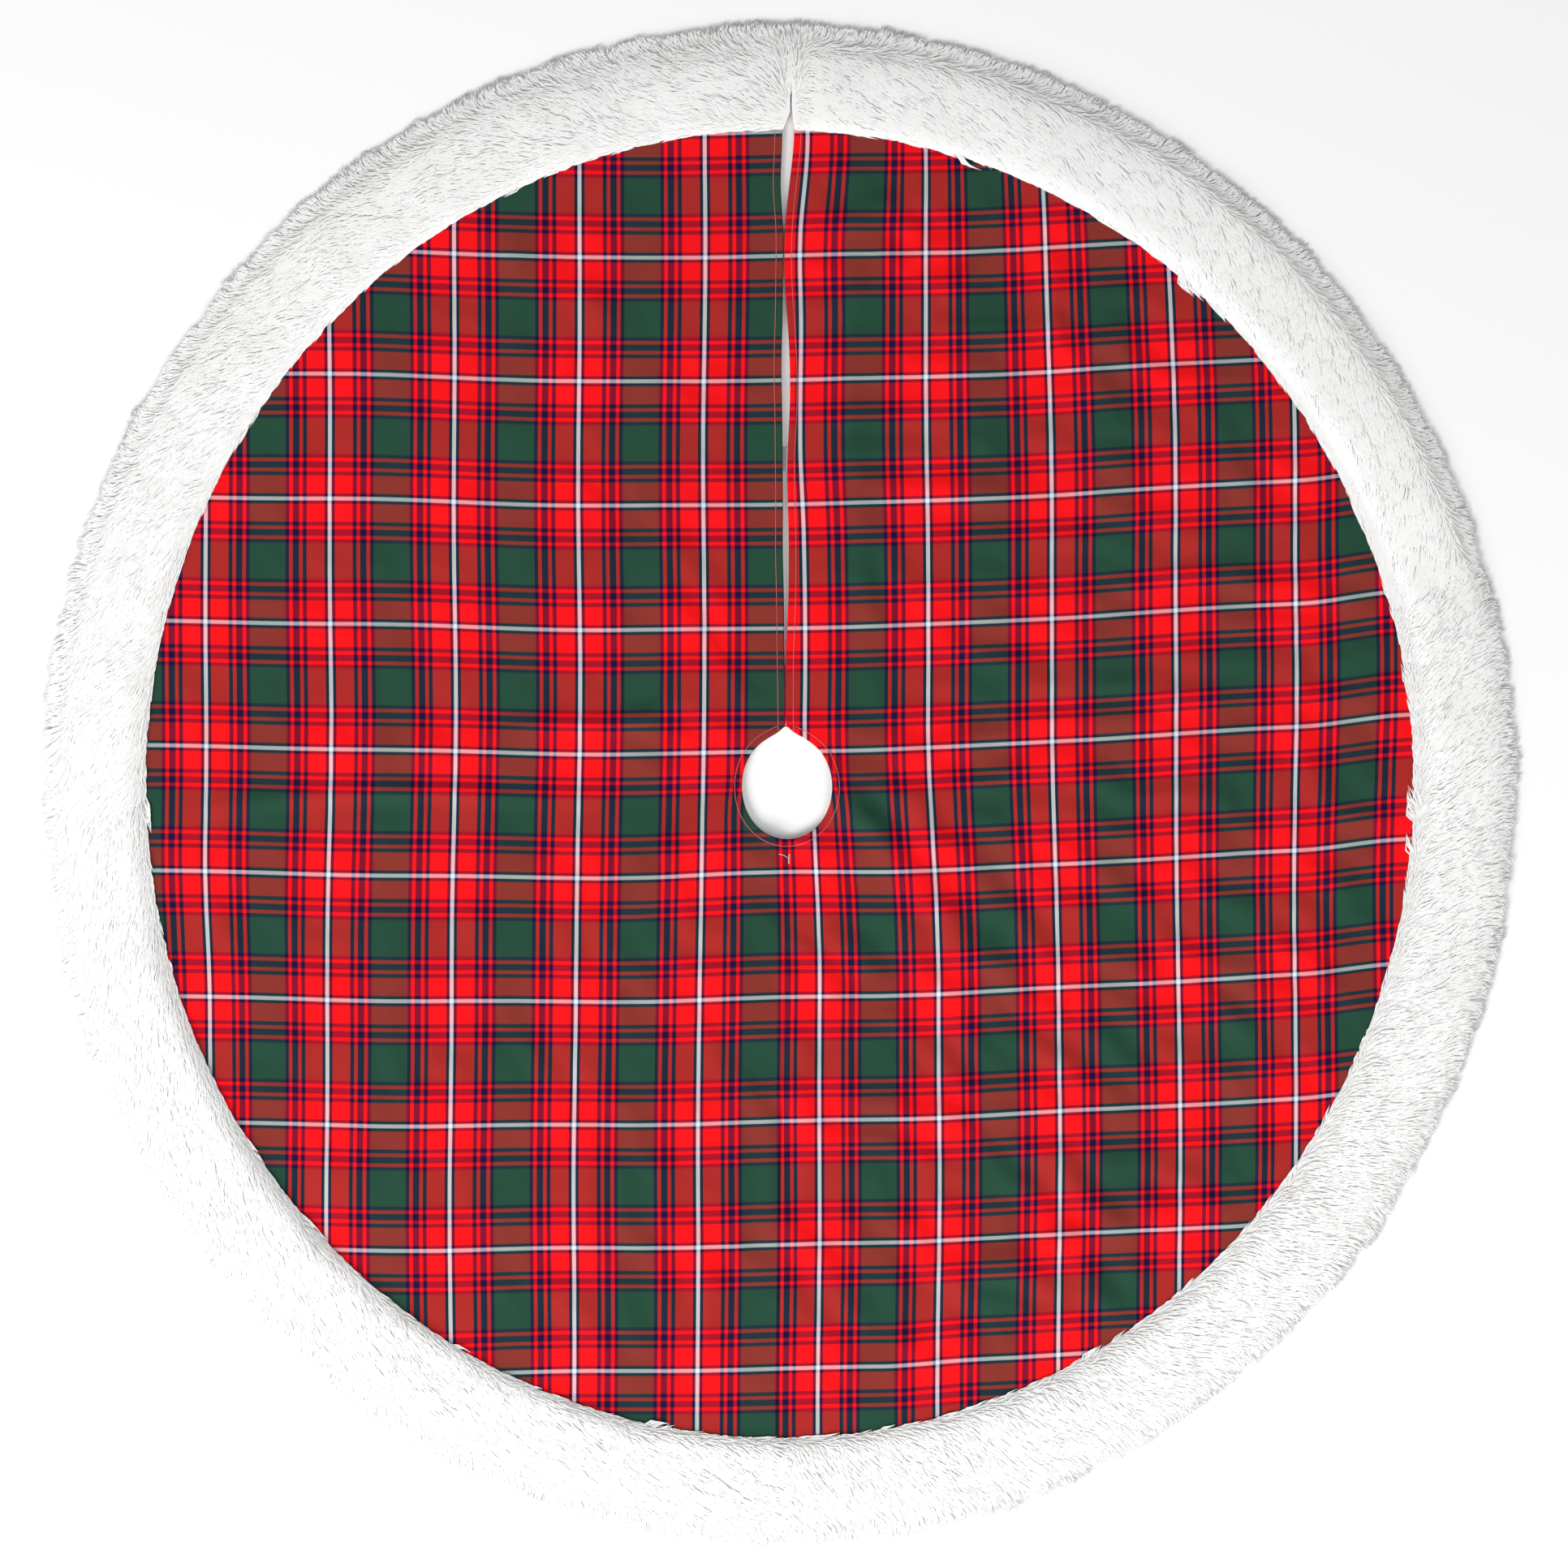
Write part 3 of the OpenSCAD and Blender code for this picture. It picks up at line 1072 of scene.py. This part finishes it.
def pile_surface(r, x, y):
    """Height on which a hair rests: the body, the plaid inside it, or the floor beyond the rim."""
    inside = (PLAID_FACE + 1.3 * MM) * np.ones_like(r)
    body = band_height(np.clip(r, BAND_IN, BAND_OUT), x, y)
    past_rim = np.clip((r - BAND_OUT) / (14 * MM), 0, 1)
    nearing = np.clip(1 - (BAND_IN - r) / (3 * MM), 0, 1)
    rested = np.where(r < BAND_IN, inside + (body - inside) * nearing, body)
    return rested * (1 - past_rim) + 0.7 * MM * past_rim


def coat_places(name):
    """Root, bend and tip of each tuft of a strip, with its width."""
    start, end, _, along, out, unruly = STRIPS[name]
    start, end = math.radians(start), math.radians(end)
    r, angle, share = roots_for(start + 0.001, end - 0.001)
    x, y = r * np.cos(angle), r * np.sin(angle)
    way, luck = lean_to_clumps(x, y)
    turn = wander(x, y, 38, unruly) + wander(x, y, 90, 2) * 0.5
    turn += 0.8 * (luck[:, 0] - 0.5) + rng.normal(0, 0.22, len(x))
    fringe = np.clip((share - 0.80) / 0.16, 0, 1)
    hang = np.clip((0.12 - share) / 0.12, 0, 1)
    stray = luck[:, 2] > 0.96
    turn *= np.radians(unruly) * (1 - 0.7 * hang * ~stray)
    to_join = np.abs(angle - math.radians(SLIT_JOIN)) * r
    meet = np.exp(-((to_join / (9 * MM)) ** 2)) * np.clip((share - 0.12) / 0.3, 0, 1)
    go_along = along * (1 - 0.85 * fringe) * (1 - 1.35 * meet)
    go_out = out * (1 - fringe) * (1 - hang) + fringe - np.where(stray, 0.9, 0.12) * hang
    go_out = go_out * (1 - meet) + 0.8 * meet
    comb = np.arctan2(go_out, go_along) + turn
    tangent = np.stack([-np.sin(angle), np.cos(angle)], 1)
    outward = np.stack([np.cos(angle), np.sin(angle)], 1)
    heading = np.cos(comb)[:, None] * tangent + np.sin(comb)[:, None] * outward
    length = TUFT_LENGTH * (0.62 + 0.35 * luck[:, 1] + rng.normal(0, 0.12, len(x)))
    length *= 1 - 0.45 * hang * ~stray
    length = np.clip(length, 6 * MM, 27 * MM)[:, None]
    root = np.stack([x, y], 1)
    pull = 0.45 * way * rng.uniform(np.where(stray, 0.0, 0.5), 1, len(x))[:, None]
    sway = rng.normal(0, 0.05, len(x)) + 0.08 * turn
    curl = np.stack([-heading[:, 1], heading[:, 0]], 1) * sway[:, None]
    bend = root + heading * length * BEND_AT + 0.25 * pull - curl * length * 0.5
    tip = root + heading * length + pull + curl * length
    rows = []
    lifts = (-0.6 * MM, (0.9 + 1.0 * luck[:, 2]) * MM, (0.3 + 0.8 * luck[:, 2]) * MM)
    for spot, lift in zip((root, bend, tip), lifts):
        reach = radius(spot)
        wave = np.sin(9 * angle + 1) + np.sin(17 * angle) + np.sin(31 * angle + 2) + np.sin(58 * angle)
        longest = RIM_R + (4 * luck[:, 1] + 1.3 * wave + rng.uniform(-3, 1, len(x))) * MM
        shortest = BAND_IN - np.where(stray, 8, 2.5) * luck[:, 1] * MM
        spot = spot * (np.clip(reach, shortest, longest) / reach)[:, None]
        reach = radius(spot)
        height = pile_surface(reach, spot[:, 0], spot[:, 1])
        height = height + lift * np.clip(1 - 0.8 * (reach - BAND_OUT) / (14 * MM), 0.2, 1)
        rows.append(np.column_stack([spot, np.minimum(height, PILE_TOP - 0.3 * MM)]))
    width = TUFT_WIDTH * (0.75 + 0.5 * rng.uniform(0, 1, len(x)))
    return rows, width


def make_coat(name):
    """All the tufts of a strip as one mesh, with the tuft's height share and its UV cells."""
    (root, bend, tip), width = coat_places(name)
    count = len(root)
    lower, upper = unit(bend - root), unit(tip - bend)
    stations = {0: (root, lower), 1: (bend, upper + lower), 2: (tip, upper)}
    places = np.empty((count, len(TUFT_POINTS), 3))
    for n, (px, py, pz) in enumerate(TUFT_POINTS):
        spot, heading = stations[0 if pz < 0.01 else 1 if pz < 0.99 else 2]
        beside = unit(np.cross((0, 0, 1.0), heading))
        over = unit(np.cross(heading, beside))
        offset = beside * (px * width)[:, None] + over * (py * width)[:, None] * FLATNESS
        places[:, n] = spot + offset * (0.0 if pz > 0.99 else 1.0)
    places = places.reshape(-1, 3)
    places[:, 2] = np.maximum(places[:, 2], 0.05 * MM)
    places = laid_by_hand(open_corner(places, STRIPS[name][2]) if "back" in name else places)
    size = len(TUFT_POINTS)
    faces = [tuple(i + t * size for i in face) for t in range(count) for face in TUFT_FACES]
    ob = new_piece(name + "_pile", places, faces)
    grid = math.ceil(math.sqrt(count))
    column, row = np.arange(count) % grid, np.arange(count) // grid
    one = np.array([uv for face in TUFT_UV for uv in face])
    u = (column[:, None] + one[None, :, 0]) / grid
    v = (row[:, None] + one[None, :, 1]) / grid * 0.9
    write_uv(ob, "OFBake", np.stack([u, v], 2))
    # How far up its hair each point is; the material paints shade towards the root from it.
    mark_points(ob, "up_the_hair", np.tile(TUFT_POINTS[:, 2], count))
    mark_points(ob, "hair_tone", np.repeat(rng.uniform(0, 1, count) ** 0.6, size))
    return ob


def body_cells(ob):
    """Gives the body the free strip of the UV map, and marks it as the foot of the pile, for painted
    shade.
    """
    places = points_of(ob)
    corners = corner_points(ob)
    turn = np.arctan2(places[:, 1], places[:, 0])[corners] % math.tau
    turn = (turn - turn.min()) / max(turn.max() - turn.min(), 1e-6)
    r = radius(places)[corners]
    low = places[corners, 2] < 4.9 * MM
    share = np.clip((r - 0.51) / 0.12, 0, 1) * 0.045
    write_uv(ob, "OFBake", np.column_stack([turn, 0.905 + share + 0.047 * low]))
    # Painted shade: the body gets the grey of a hair's lower part.
    mark_points(ob, "up_the_hair", np.full(len(places), 0.3))
    mark_points(ob, "hair_tone", np.full(len(places), 0.5))


# %% [markdown]
# ## The pile's finish
# Long white pile is bright at its tips and a little grey between the hairs, and it shines softly
# along them. The grey is painted shade: the colour darkens towards each hair's root. The attribute
# from the step before says how far up its hair a point is, and so how much painted shade it takes.

# %% Pile material


def pile_material():
    material, nodes, shader = principled("white_pile")
    share = nodes.add("ShaderNodeAttribute", attribute_name="up_the_hair").outputs["Fac"]
    patch, fuzz = add_wear(nodes, 16.0, 260.0)
    # Painted shade: grey at a hair's root and white at its tip, with fuzz and each tuft's random tone
    # mixed in.
    depth = nodes.math("MULTIPLY_ADD", share, 0.55, nodes.math("MULTIPLY", fuzz, 0.45))
    tone = nodes.add("ShaderNodeAttribute", attribute_name="hair_tone").outputs["Fac"]
    depth = nodes.math("MULTIPLY", depth, nodes.math("MULTIPLY_ADD", tone, 0.5, 0.5))
    colour = nodes.mix(depth, (0.86, 0.855, 0.845, 1), (0.995, 0.995, 0.99, 1))
    colour = nodes.mix(1.0, colour, nodes.grey(0.94, 1.02, patch), "MULTIPLY")
    looks = {"Base Color": colour, "Roughness": nodes.math("MULTIPLY_ADD", fuzz, 0.2, 0.5)}
    nodes.join(shader, {**looks, "Specular IOR Level": 0.4, "Sheen Weight": 0.25})
    return material


PILE = pile_material()


def soften_pile(ob):
    """Turns the shading normals of the hairs' upper faces most of the way to the band's own, and those
    of their lower faces the other way, so the pile looks soft, and soft from below when it's folded."""
    places = points_of(ob)
    corners = corner_points(ob)
    facing = read(ob.data.polygon_normals, "vector", 3)
    sizes = read(ob.data.polygons, "loop_total", kind=int)
    up = np.repeat(facing[:, 2], sizes)[:, None]
    own = read(ob.data.vertex_normals, "vector", 3)
    step = 3 * MM
    heights = []
    for dx, dy in ((step, 0), (-step, 0), (0, step), (0, -step)):
        x, y = places[:, 0] + dx, places[:, 1] + dy
        heights.append(pile_surface(np.hypot(x, y), x, y))
    slope_x = (heights[0] - heights[1]) / (2 * step)
    slope_y = (heights[2] - heights[3]) / (2 * step)
    band = unit(np.column_stack([-slope_x, -slope_y, np.full(len(places), STEEPNESS)]))
    share = SOFTNESS * np.clip(np.abs(up) / 0.3, 0, 1) * (places[corners, 2] > 3 * MM)[:, None]
    soft = share * np.sign(up) * band[corners] + (1 - share) * own[corners]
    ob.data.normals_split_custom_set(unit(soft).tolist())


def make_strip(name):
    body = spin_body(name)
    body_cells(body)
    coat = make_coat(name)
    only(body)
    coat.select_set(True)
    bpy.ops.object.join()
    soften_pile(body)
    finish_piece(body, PILE, "fur", None, name)
    bend_at_fold(body)
    body.data.calc_loop_triangles()
    print(name, "triangles", len(body.data.loop_triangles))


for strip in STRIPS:
    make_strip(strip)

# %% [markdown]
# ## The topstitching
# A red thread holds both layers flat, a stitch's width from the slit and from the hole. It's one long
# thread a side: it lies on the plaid for most of a stitch, and dips into the cloth at its end.
# So we draw it as a curve over the plaid's face, give the curve a round section, and make it a mesh.

# %% Topstitching
STITCH = 4.0 * MM
STITCH_STEPS = 6
THREAD_R = 0.28 * MM


def stitch_route(side):
    """Points of a side's thread in plan: from under the band down the slit, and half round the hole."""
    start_r = HOLE_R + STITCH_IN
    line = []
    y = EDGE_R - 1 * MM
    while y > start_r:
        line.append((side * (slit_edge(side, y) + STITCH_IN), y))
        y -= STITCH / STITCH_STEPS
    first = math.asin(STITCH_IN / start_r) + 0.03
    count = round((math.pi - first) * start_r / (STITCH / STITCH_STEPS))
    for n in range(count + 1):
        angle = first + (math.pi - first) * n / count
        r = hole_radius(angle) + STITCH_IN
        line.append((side * r * math.sin(angle), r * math.cos(angle)))
    return line


def thread_material():
    material, nodes, shader = principled("red_thread")
    fuzz = add_wear(nodes, 60.0, 2500.0)[1]
    colour = nodes.mix(fuzz, (0.50, 0.07, 0.08, 1), (0.74, 0.17, 0.16, 1))
    looks = {"Base Color": colour, "Normal": nodes.bump(fuzz, 0.4, 0.05), "Roughness": 0.55}
    nodes.join(shader, looks)
    return material


THREAD = thread_material()


def curve_to_mesh(name, points, half_width, sides):
    """A round thread or rod along points, as a closed mesh."""
    curve = bpy.data.curves.new(name, "CURVE")
    curve.dimensions = "3D"
    curve.bevel_depth = half_width
    curve.bevel_resolution = sides // 2 - 2
    curve.use_fill_caps = True
    spline = curve.splines.new("POLY")
    spline.points.add(len(points) - 1)
    spline.points.foreach_set("co", np.column_stack([points, np.ones(len(points))]).ravel())
    ob = bpy.data.objects.new(name, curve)
    bpy.context.scene.collection.objects.link(ob)
    only(ob)
    bpy.ops.object.convert(target="MESH")
    ob = bpy.context.object
    edit_all()
    bpy.ops.mesh.remove_doubles(threshold=half_width / 100)
    bpy.ops.mesh.normals_make_consistent(inside=False)
    leave_edit()
    ob.data.shade_smooth()
    return ob


def make_topstitch(side):
    route = laid_by_hand([(x, y, 0) for x, y in stitch_route(side)])
    cloth = BVHTree.FromObject(plaids[(side + 1) // 2], bpy.context.evaluated_depsgraph_get())
    for n, place in enumerate(route):
        part = n % STITCH_STEPS / STITCH_STEPS
        above = math.sin(math.pi * part) ** 0.6 if part else -1.0
        under = cloth.ray_cast(Vector((place[0], place[1], 0.1)), Vector((0, 0, -1)))[0]
        face_z = under.z if under else PLAID_FACE
        place[2] = face_z + (0.04 + 0.2 * above) * MM
    ob = curve_to_mesh("topstitch_" + SIDE_NAMES[side], route, THREAD_R, 6)
    finish_piece(ob, THREAD, "thread", None, "topstitch_front", "topstitch_back_" + SIDE_NAMES[side])
    bend_at_fold(ob)


for side in (-1, 1):
    make_topstitch(side)

# %% [markdown]
# ## The fastening tabs
# Three short tapes close the slit. A hook tape is sewn under the right edge and reaches across, and a
# loop tape is sewn under the left edge above it. A tab starts as a block of the tape's size, whose
# sewn end is drawn up to the lining. Hooks and loops are modelled once and copied over the tapes.

# %% Tape finish


def tape_material(name, light, dark):
    material, nodes, shader = principled(name)
    place = nodes.place()
    turned = nodes.add("ShaderNodeMapping", {"Vector": place, "Rotation": (0, 0, math.pi / 2)}).outputs[0]
    across = nodes.add("ShaderNodeTexWave", {"Vector": place, "Scale": 250.0}).outputs[1]
    along = nodes.add("ShaderNodeTexWave", {"Vector": turned, "Scale": 160.0}).outputs[1]
    fuzz = add_wear(nodes, 40.0, 1500.0)[1]
    weave = nodes.math("MULTIPLY", across, along)
    amount = nodes.math("MULTIPLY_ADD", weave, 0.6, nodes.math("MULTIPLY", fuzz, 0.4))
    colour = nodes.mix(amount, dark, light)
    looks = {"Base Color": colour, "Normal": nodes.bump(weave, 0.5, 0.12), "Roughness": 0.6}
    nodes.join(shader, looks)
    return material


HOOK_TAPE = tape_material("hook_tape", (0.62, 0.61, 0.66, 1), (0.44, 0.43, 0.48, 1))
LOOP_TAPE = tape_material("loop_tape", (0.74, 0.73, 0.75, 1), (0.55, 0.54, 0.57, 1))


def block(name, low, high):
    """A block between two corners, selected and active."""
    deselect()
    middle = [(a + b) / 2 for a, b in zip(low, high)]
    bpy.ops.mesh.primitive_cube_add(size=1, location=middle)
    ob = bpy.context.object
    ob.name = name
    ob.scale = [b - a for a, b in zip(low, high)]
    settle(ob)
    return ob


def select_faces(ob, wanted):
    """In edit mode afterwards, with only the faces selected for which wanted(face) holds."""
    only(ob)
    bpy.ops.object.mode_set(mode="EDIT")
    bpy.ops.mesh.select_mode(type="FACE")
    bpy.ops.mesh.select_all(action="DESELECT")
    leave_edit()
    for face in ob.data.polygons:
        face.select = bool(wanted(face))
    bpy.ops.object.mode_set(mode="EDIT")


def soften(ob, width, segments=2):
    bevel = ob.modifiers.new("soft_edges", "BEVEL")
    bevel.width = width
    bevel.segments = segments
    apply_modifiers(ob)
    only(ob)
    bpy.ops.object.shade_smooth_by_angle(angle=math.radians(40))


# %% A hook and a loop


def hook_pattern():
    """A hook: a thin stem with a bent head, as a curve of few sides."""
    points = [(0, 0, -0.1), (0, 0, 0.25), (0.03, 0, 0.36), (0.14, 0, 0.40), (0.20, 0, 0.30)]
    return curve_to_mesh("hook", np.array(points) * MM, 0.07 * MM, 4)


def loop_pattern():
    """A loop: a small arch that leans over."""
    points = [(-0.22, 0, 0.1), (-0.2, 0.02, -0.15), (0, 0.1, -0.32), (0.2, 0.02, -0.15), (0.22, 0, 0.1)]
    return curve_to_mesh("loop", np.array(points) * MM, 0.06 * MM, 4)


def cover(ob, pattern, low, high, z, pitch, turns):
    """Copies a pattern over a rectangle of a tape, in one mesh with it."""
    points = points_of(pattern)
    faces = [tuple(face.vertices) for face in pattern.data.polygons]
    bpy.data.objects.remove(pattern)
    places, copies = [], []
    for column in range(int((high[0] - low[0]) / pitch)):
        for row in range(int((high[1] - low[1]) / pitch)):
            turn = rng.uniform(-1, 1) * turns + math.pi * (row % 2)
            spin = np.array([[math.cos(turn), -math.sin(turn)], [math.sin(turn), math.cos(turn)]])
            spot = np.array([low[0] + (column + 0.5) * pitch, low[1] + (row + 0.5) * pitch])
            spot += rng.uniform(-0.12, 0.12, 2) * pitch
            copies.append([tuple(i + len(places) for i in face) for face in faces])
            places.extend(np.column_stack([points[:, :2] @ spin.T + spot, points[:, 2] + z]))
    field = new_piece("field", places, [face for copy in copies for face in copy])
    only(ob)
    field.select_set(True)
    bpy.ops.object.join()


# %% Hook tabs and loop patches
SEWN_FROM = 2 * MM
HOOK_TAPE_THICKNESS = 0.8 * MM
TAPE_SOFTNESS = 0.22 * MM
SELVAGE = 0.8 * MM
HOOK_PITCH = 1.15 * MM
LOOP_PITCH = 1.0 * MM


def make_tab(place):
    node = "hook_tab_" + place
    low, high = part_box(node)
    low = (low[0] + 0.3 * MM, low[1] + 0.2 * MM, low[2] + 0.1 * MM)
    high = (high[0], high[1] - 0.2 * MM, high[2] - 0.1 * MM)
    tape_top = low[2] + HOOK_TAPE_THICKNESS
    ob = block("hook_tape_" + place, low, (high[0], high[1], tape_top))
    only(ob)
    edit_all()
    bpy.ops.mesh.bisect(plane_co=(SEWN_FROM, 0, 0), plane_no=(1, 0, 0))
    leave_edit()
    select_faces(ob, lambda face: face.normal.z > 0.9 and face.center.x > SEWN_FROM)
    rise = high[2] - tape_top
    bpy.ops.mesh.extrude_region_move(TRANSFORM_OT_translate={"value": (0, 0, rise)})
    leave_edit()
    soften(ob, TAPE_SOFTNESS)
    field_low = (low[0] + 1 * MM, low[1] + SELVAGE)
    field_high = (-SEWN_FROM, high[1] - SELVAGE)
    cover(ob, hook_pattern(), field_low, field_high, tape_top, HOOK_PITCH, 0.3)
    finish_piece(ob, HOOK_TAPE, "hook_tape", "right_flap", node)


def make_patch(place):
    node = "loop_patch_" + place
    low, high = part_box(node)
    low = (low[0] + 0.1 * MM, low[1] + 0.2 * MM, low[2] + 0.45 * MM)
    high = (high[0] - 0.1 * MM, high[1] - 0.2 * MM, high[2] - 0.1 * MM)
    ob = block("loop_tape_" + place, low, high)
    soften(ob, TAPE_SOFTNESS)
    field_low = (low[0] + SELVAGE, low[1] + SELVAGE)
    field_high = (high[0] - SELVAGE, high[1] - SELVAGE)
    cover(ob, loop_pattern(), field_low, field_high, low[2], LOOP_PITCH, 1.5)
    finish_piece(ob, LOOP_TAPE, "loop_tape", "left_flap", node)


for place in ("inner", "middle", "outer"):
    make_tab(place)
    make_patch(place)

# %% [markdown]
# ## The tag pin
# A clear plastic pin held a paper tag in the shop and was left in the cloth. Its cross bar lies on the
# plaid in front of the hole, a thin filament runs from the bar's middle through both layers, and a
# flat end stops it below. Bar and filament are curves with a round section, and the flat end is a
# block with soft edges.

# %% Tag pin
PIN_TURN = math.radians(-25)
BAR_TURN = math.radians(87)
BAR_LENGTH = 8 * MM
BAR_R = 0.55 * MM
FILAMENT_R = 0.25 * MM
FILAMENT_LENGTH = 9.5 * MM
PIN_AT = (-4.5 * MM, -57 * MM)


def plastic_material():
    material, nodes, shader = principled("clear_plastic")
    patch, fuzz = add_wear(nodes, 120.0, 1800.0)
    colour = nodes.mix(patch, (0.62, 0.64, 0.66, 1), (0.86, 0.87, 0.88, 1))
    looks = {"Base Color": colour, "Roughness": nodes.math("MULTIPLY_ADD", fuzz, 0.2, 0.18)}
    nodes.join(shader, {**looks, "Transmission Weight": 0.25, "IOR": 1.46})
    return material


def make_pin():
    over = PLAID_FACE + plaid_rise(*PIN_AT) + BAR_R + 0.1 * MM
    reach = Vector((math.cos(PIN_TURN), math.sin(PIN_TURN), 0))
    start = Vector((*PIN_AT, over))
    centre = start + reach * FILAMENT_LENGTH
    centre.z = PLAID_FACE + plaid_rise(centre.x, centre.y) + BAR_R + 0.2 * MM
    rod = Vector((math.cos(BAR_TURN), math.sin(BAR_TURN), 0)) * BAR_LENGTH / 2
    ends = np.array([centre - rod, centre - rod * 0.5, centre + rod])
    bar = curve_to_mesh("tag_pin_piece", ends, BAR_R, 12)
    soften(bar, 0.3 * MM, 3)
    below = LINING_Z - 0.3 * MM
    route = [Vector((*PIN_AT, z)) for z in (below, LINING_TOP, over - 1.2 * MM, over - 0.4 * MM)]
    for share in (0.04, 0.1, 0.25, 0.5, 0.75, 1.0):
        arch = 0.5 * MM * math.sin(math.pi * share)
        side_sway = 0.9 * MM * math.sin(math.pi * share)
        spot = start.lerp(centre, share) + Vector((-reach.y, reach.x, 0)) * side_sway
        spot.z += arch
        route.append(spot)
    filament = curve_to_mesh("filament", np.array(route), FILAMENT_R, 8)
    flat_low = (PIN_AT[0] - 2.5 * MM, PIN_AT[1] - 1 * MM, LINING_Z - 0.85 * MM)
    flat_high = (PIN_AT[0] + 2.5 * MM, PIN_AT[1] + 1 * MM, LINING_Z - 0.1 * MM)
    paddle = block("flat_end", flat_low, flat_high)
    soften(paddle, 0.25 * MM, 3)
    only(bar)
    filament.select_set(True)
    paddle.select_set(True)
    bpy.ops.object.join()
    finish_piece(bar, plastic_material(), "clear_plastic", "skirt", "tag_pin")


make_pin()

# %% [markdown]
# ## The label
# A folded satin ribbon, left blank here, is sewn under the lining beside the slit. It is a long flat
# grid, folded over in the middle of its length, that sags a little at its free end.

# %% Label
RIBBON_THICKNESS = 0.12 * MM


def ribbon_material():
    material, nodes, shader = principled("satin_ribbon")
    place = nodes.place()
    ribs = nodes.add("ShaderNodeTexWave", {"Vector": place, "Scale": 220.0, "Distortion": 0.3}).outputs[1]
    patch, fuzz = add_wear(nodes, 50.0, 1200.0)
    colour = nodes.mix(nodes.math("MULTIPLY", ribs, patch), (0.86, 0.85, 0.83, 1), (0.72, 0.71, 0.69, 1))
    looks = {"Base Color": colour, "Roughness": nodes.math("MULTIPLY_ADD", fuzz, 0.15, 0.28)}
    nodes.join(shader, {**looks, "Normal": nodes.bump(ribs, 0.25, 0.05)})
    return material


def make_label():
    low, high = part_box("care_label")
    length, width = high[0] - low[0], high[1] - low[1]
    deselect()
    bpy.ops.mesh.primitive_grid_add(x_subdivisions=96, y_subdivisions=20, size=1)
    ob = bpy.context.object
    ob.name = "blank_label"
    places = points_of(ob)
    along = (places[:, 0] + 0.5) * 2
    fold = 0.16 * MM
    out = 1 - np.abs(along - 1)
    round_off = np.clip((out - 0.985) / 0.015, 0, 1)
    sag = 1.5 * MM * out ** 2 * (1 + 0.12 * np.sin(9 * places[:, 1]))
    side = np.where(along < 1, 1, -1) * np.sqrt(np.clip(1 - round_off ** 2, 0, 1))
    x = low[0] + 0.2 * MM + (length - 0.4 * MM) * out
    y = low[1] + width * (places[:, 1] + 0.5)
    z = (low[2] + high[2]) / 2 + fold * side - sag
    move_points(ob, np.column_stack([x, y, z]))
    thicken(ob, RIBBON_THICKNESS)
    ob.data.shade_smooth()
    finish_piece(ob, ribbon_material(), "ribbon", "right_flap", "care_label")


make_label()
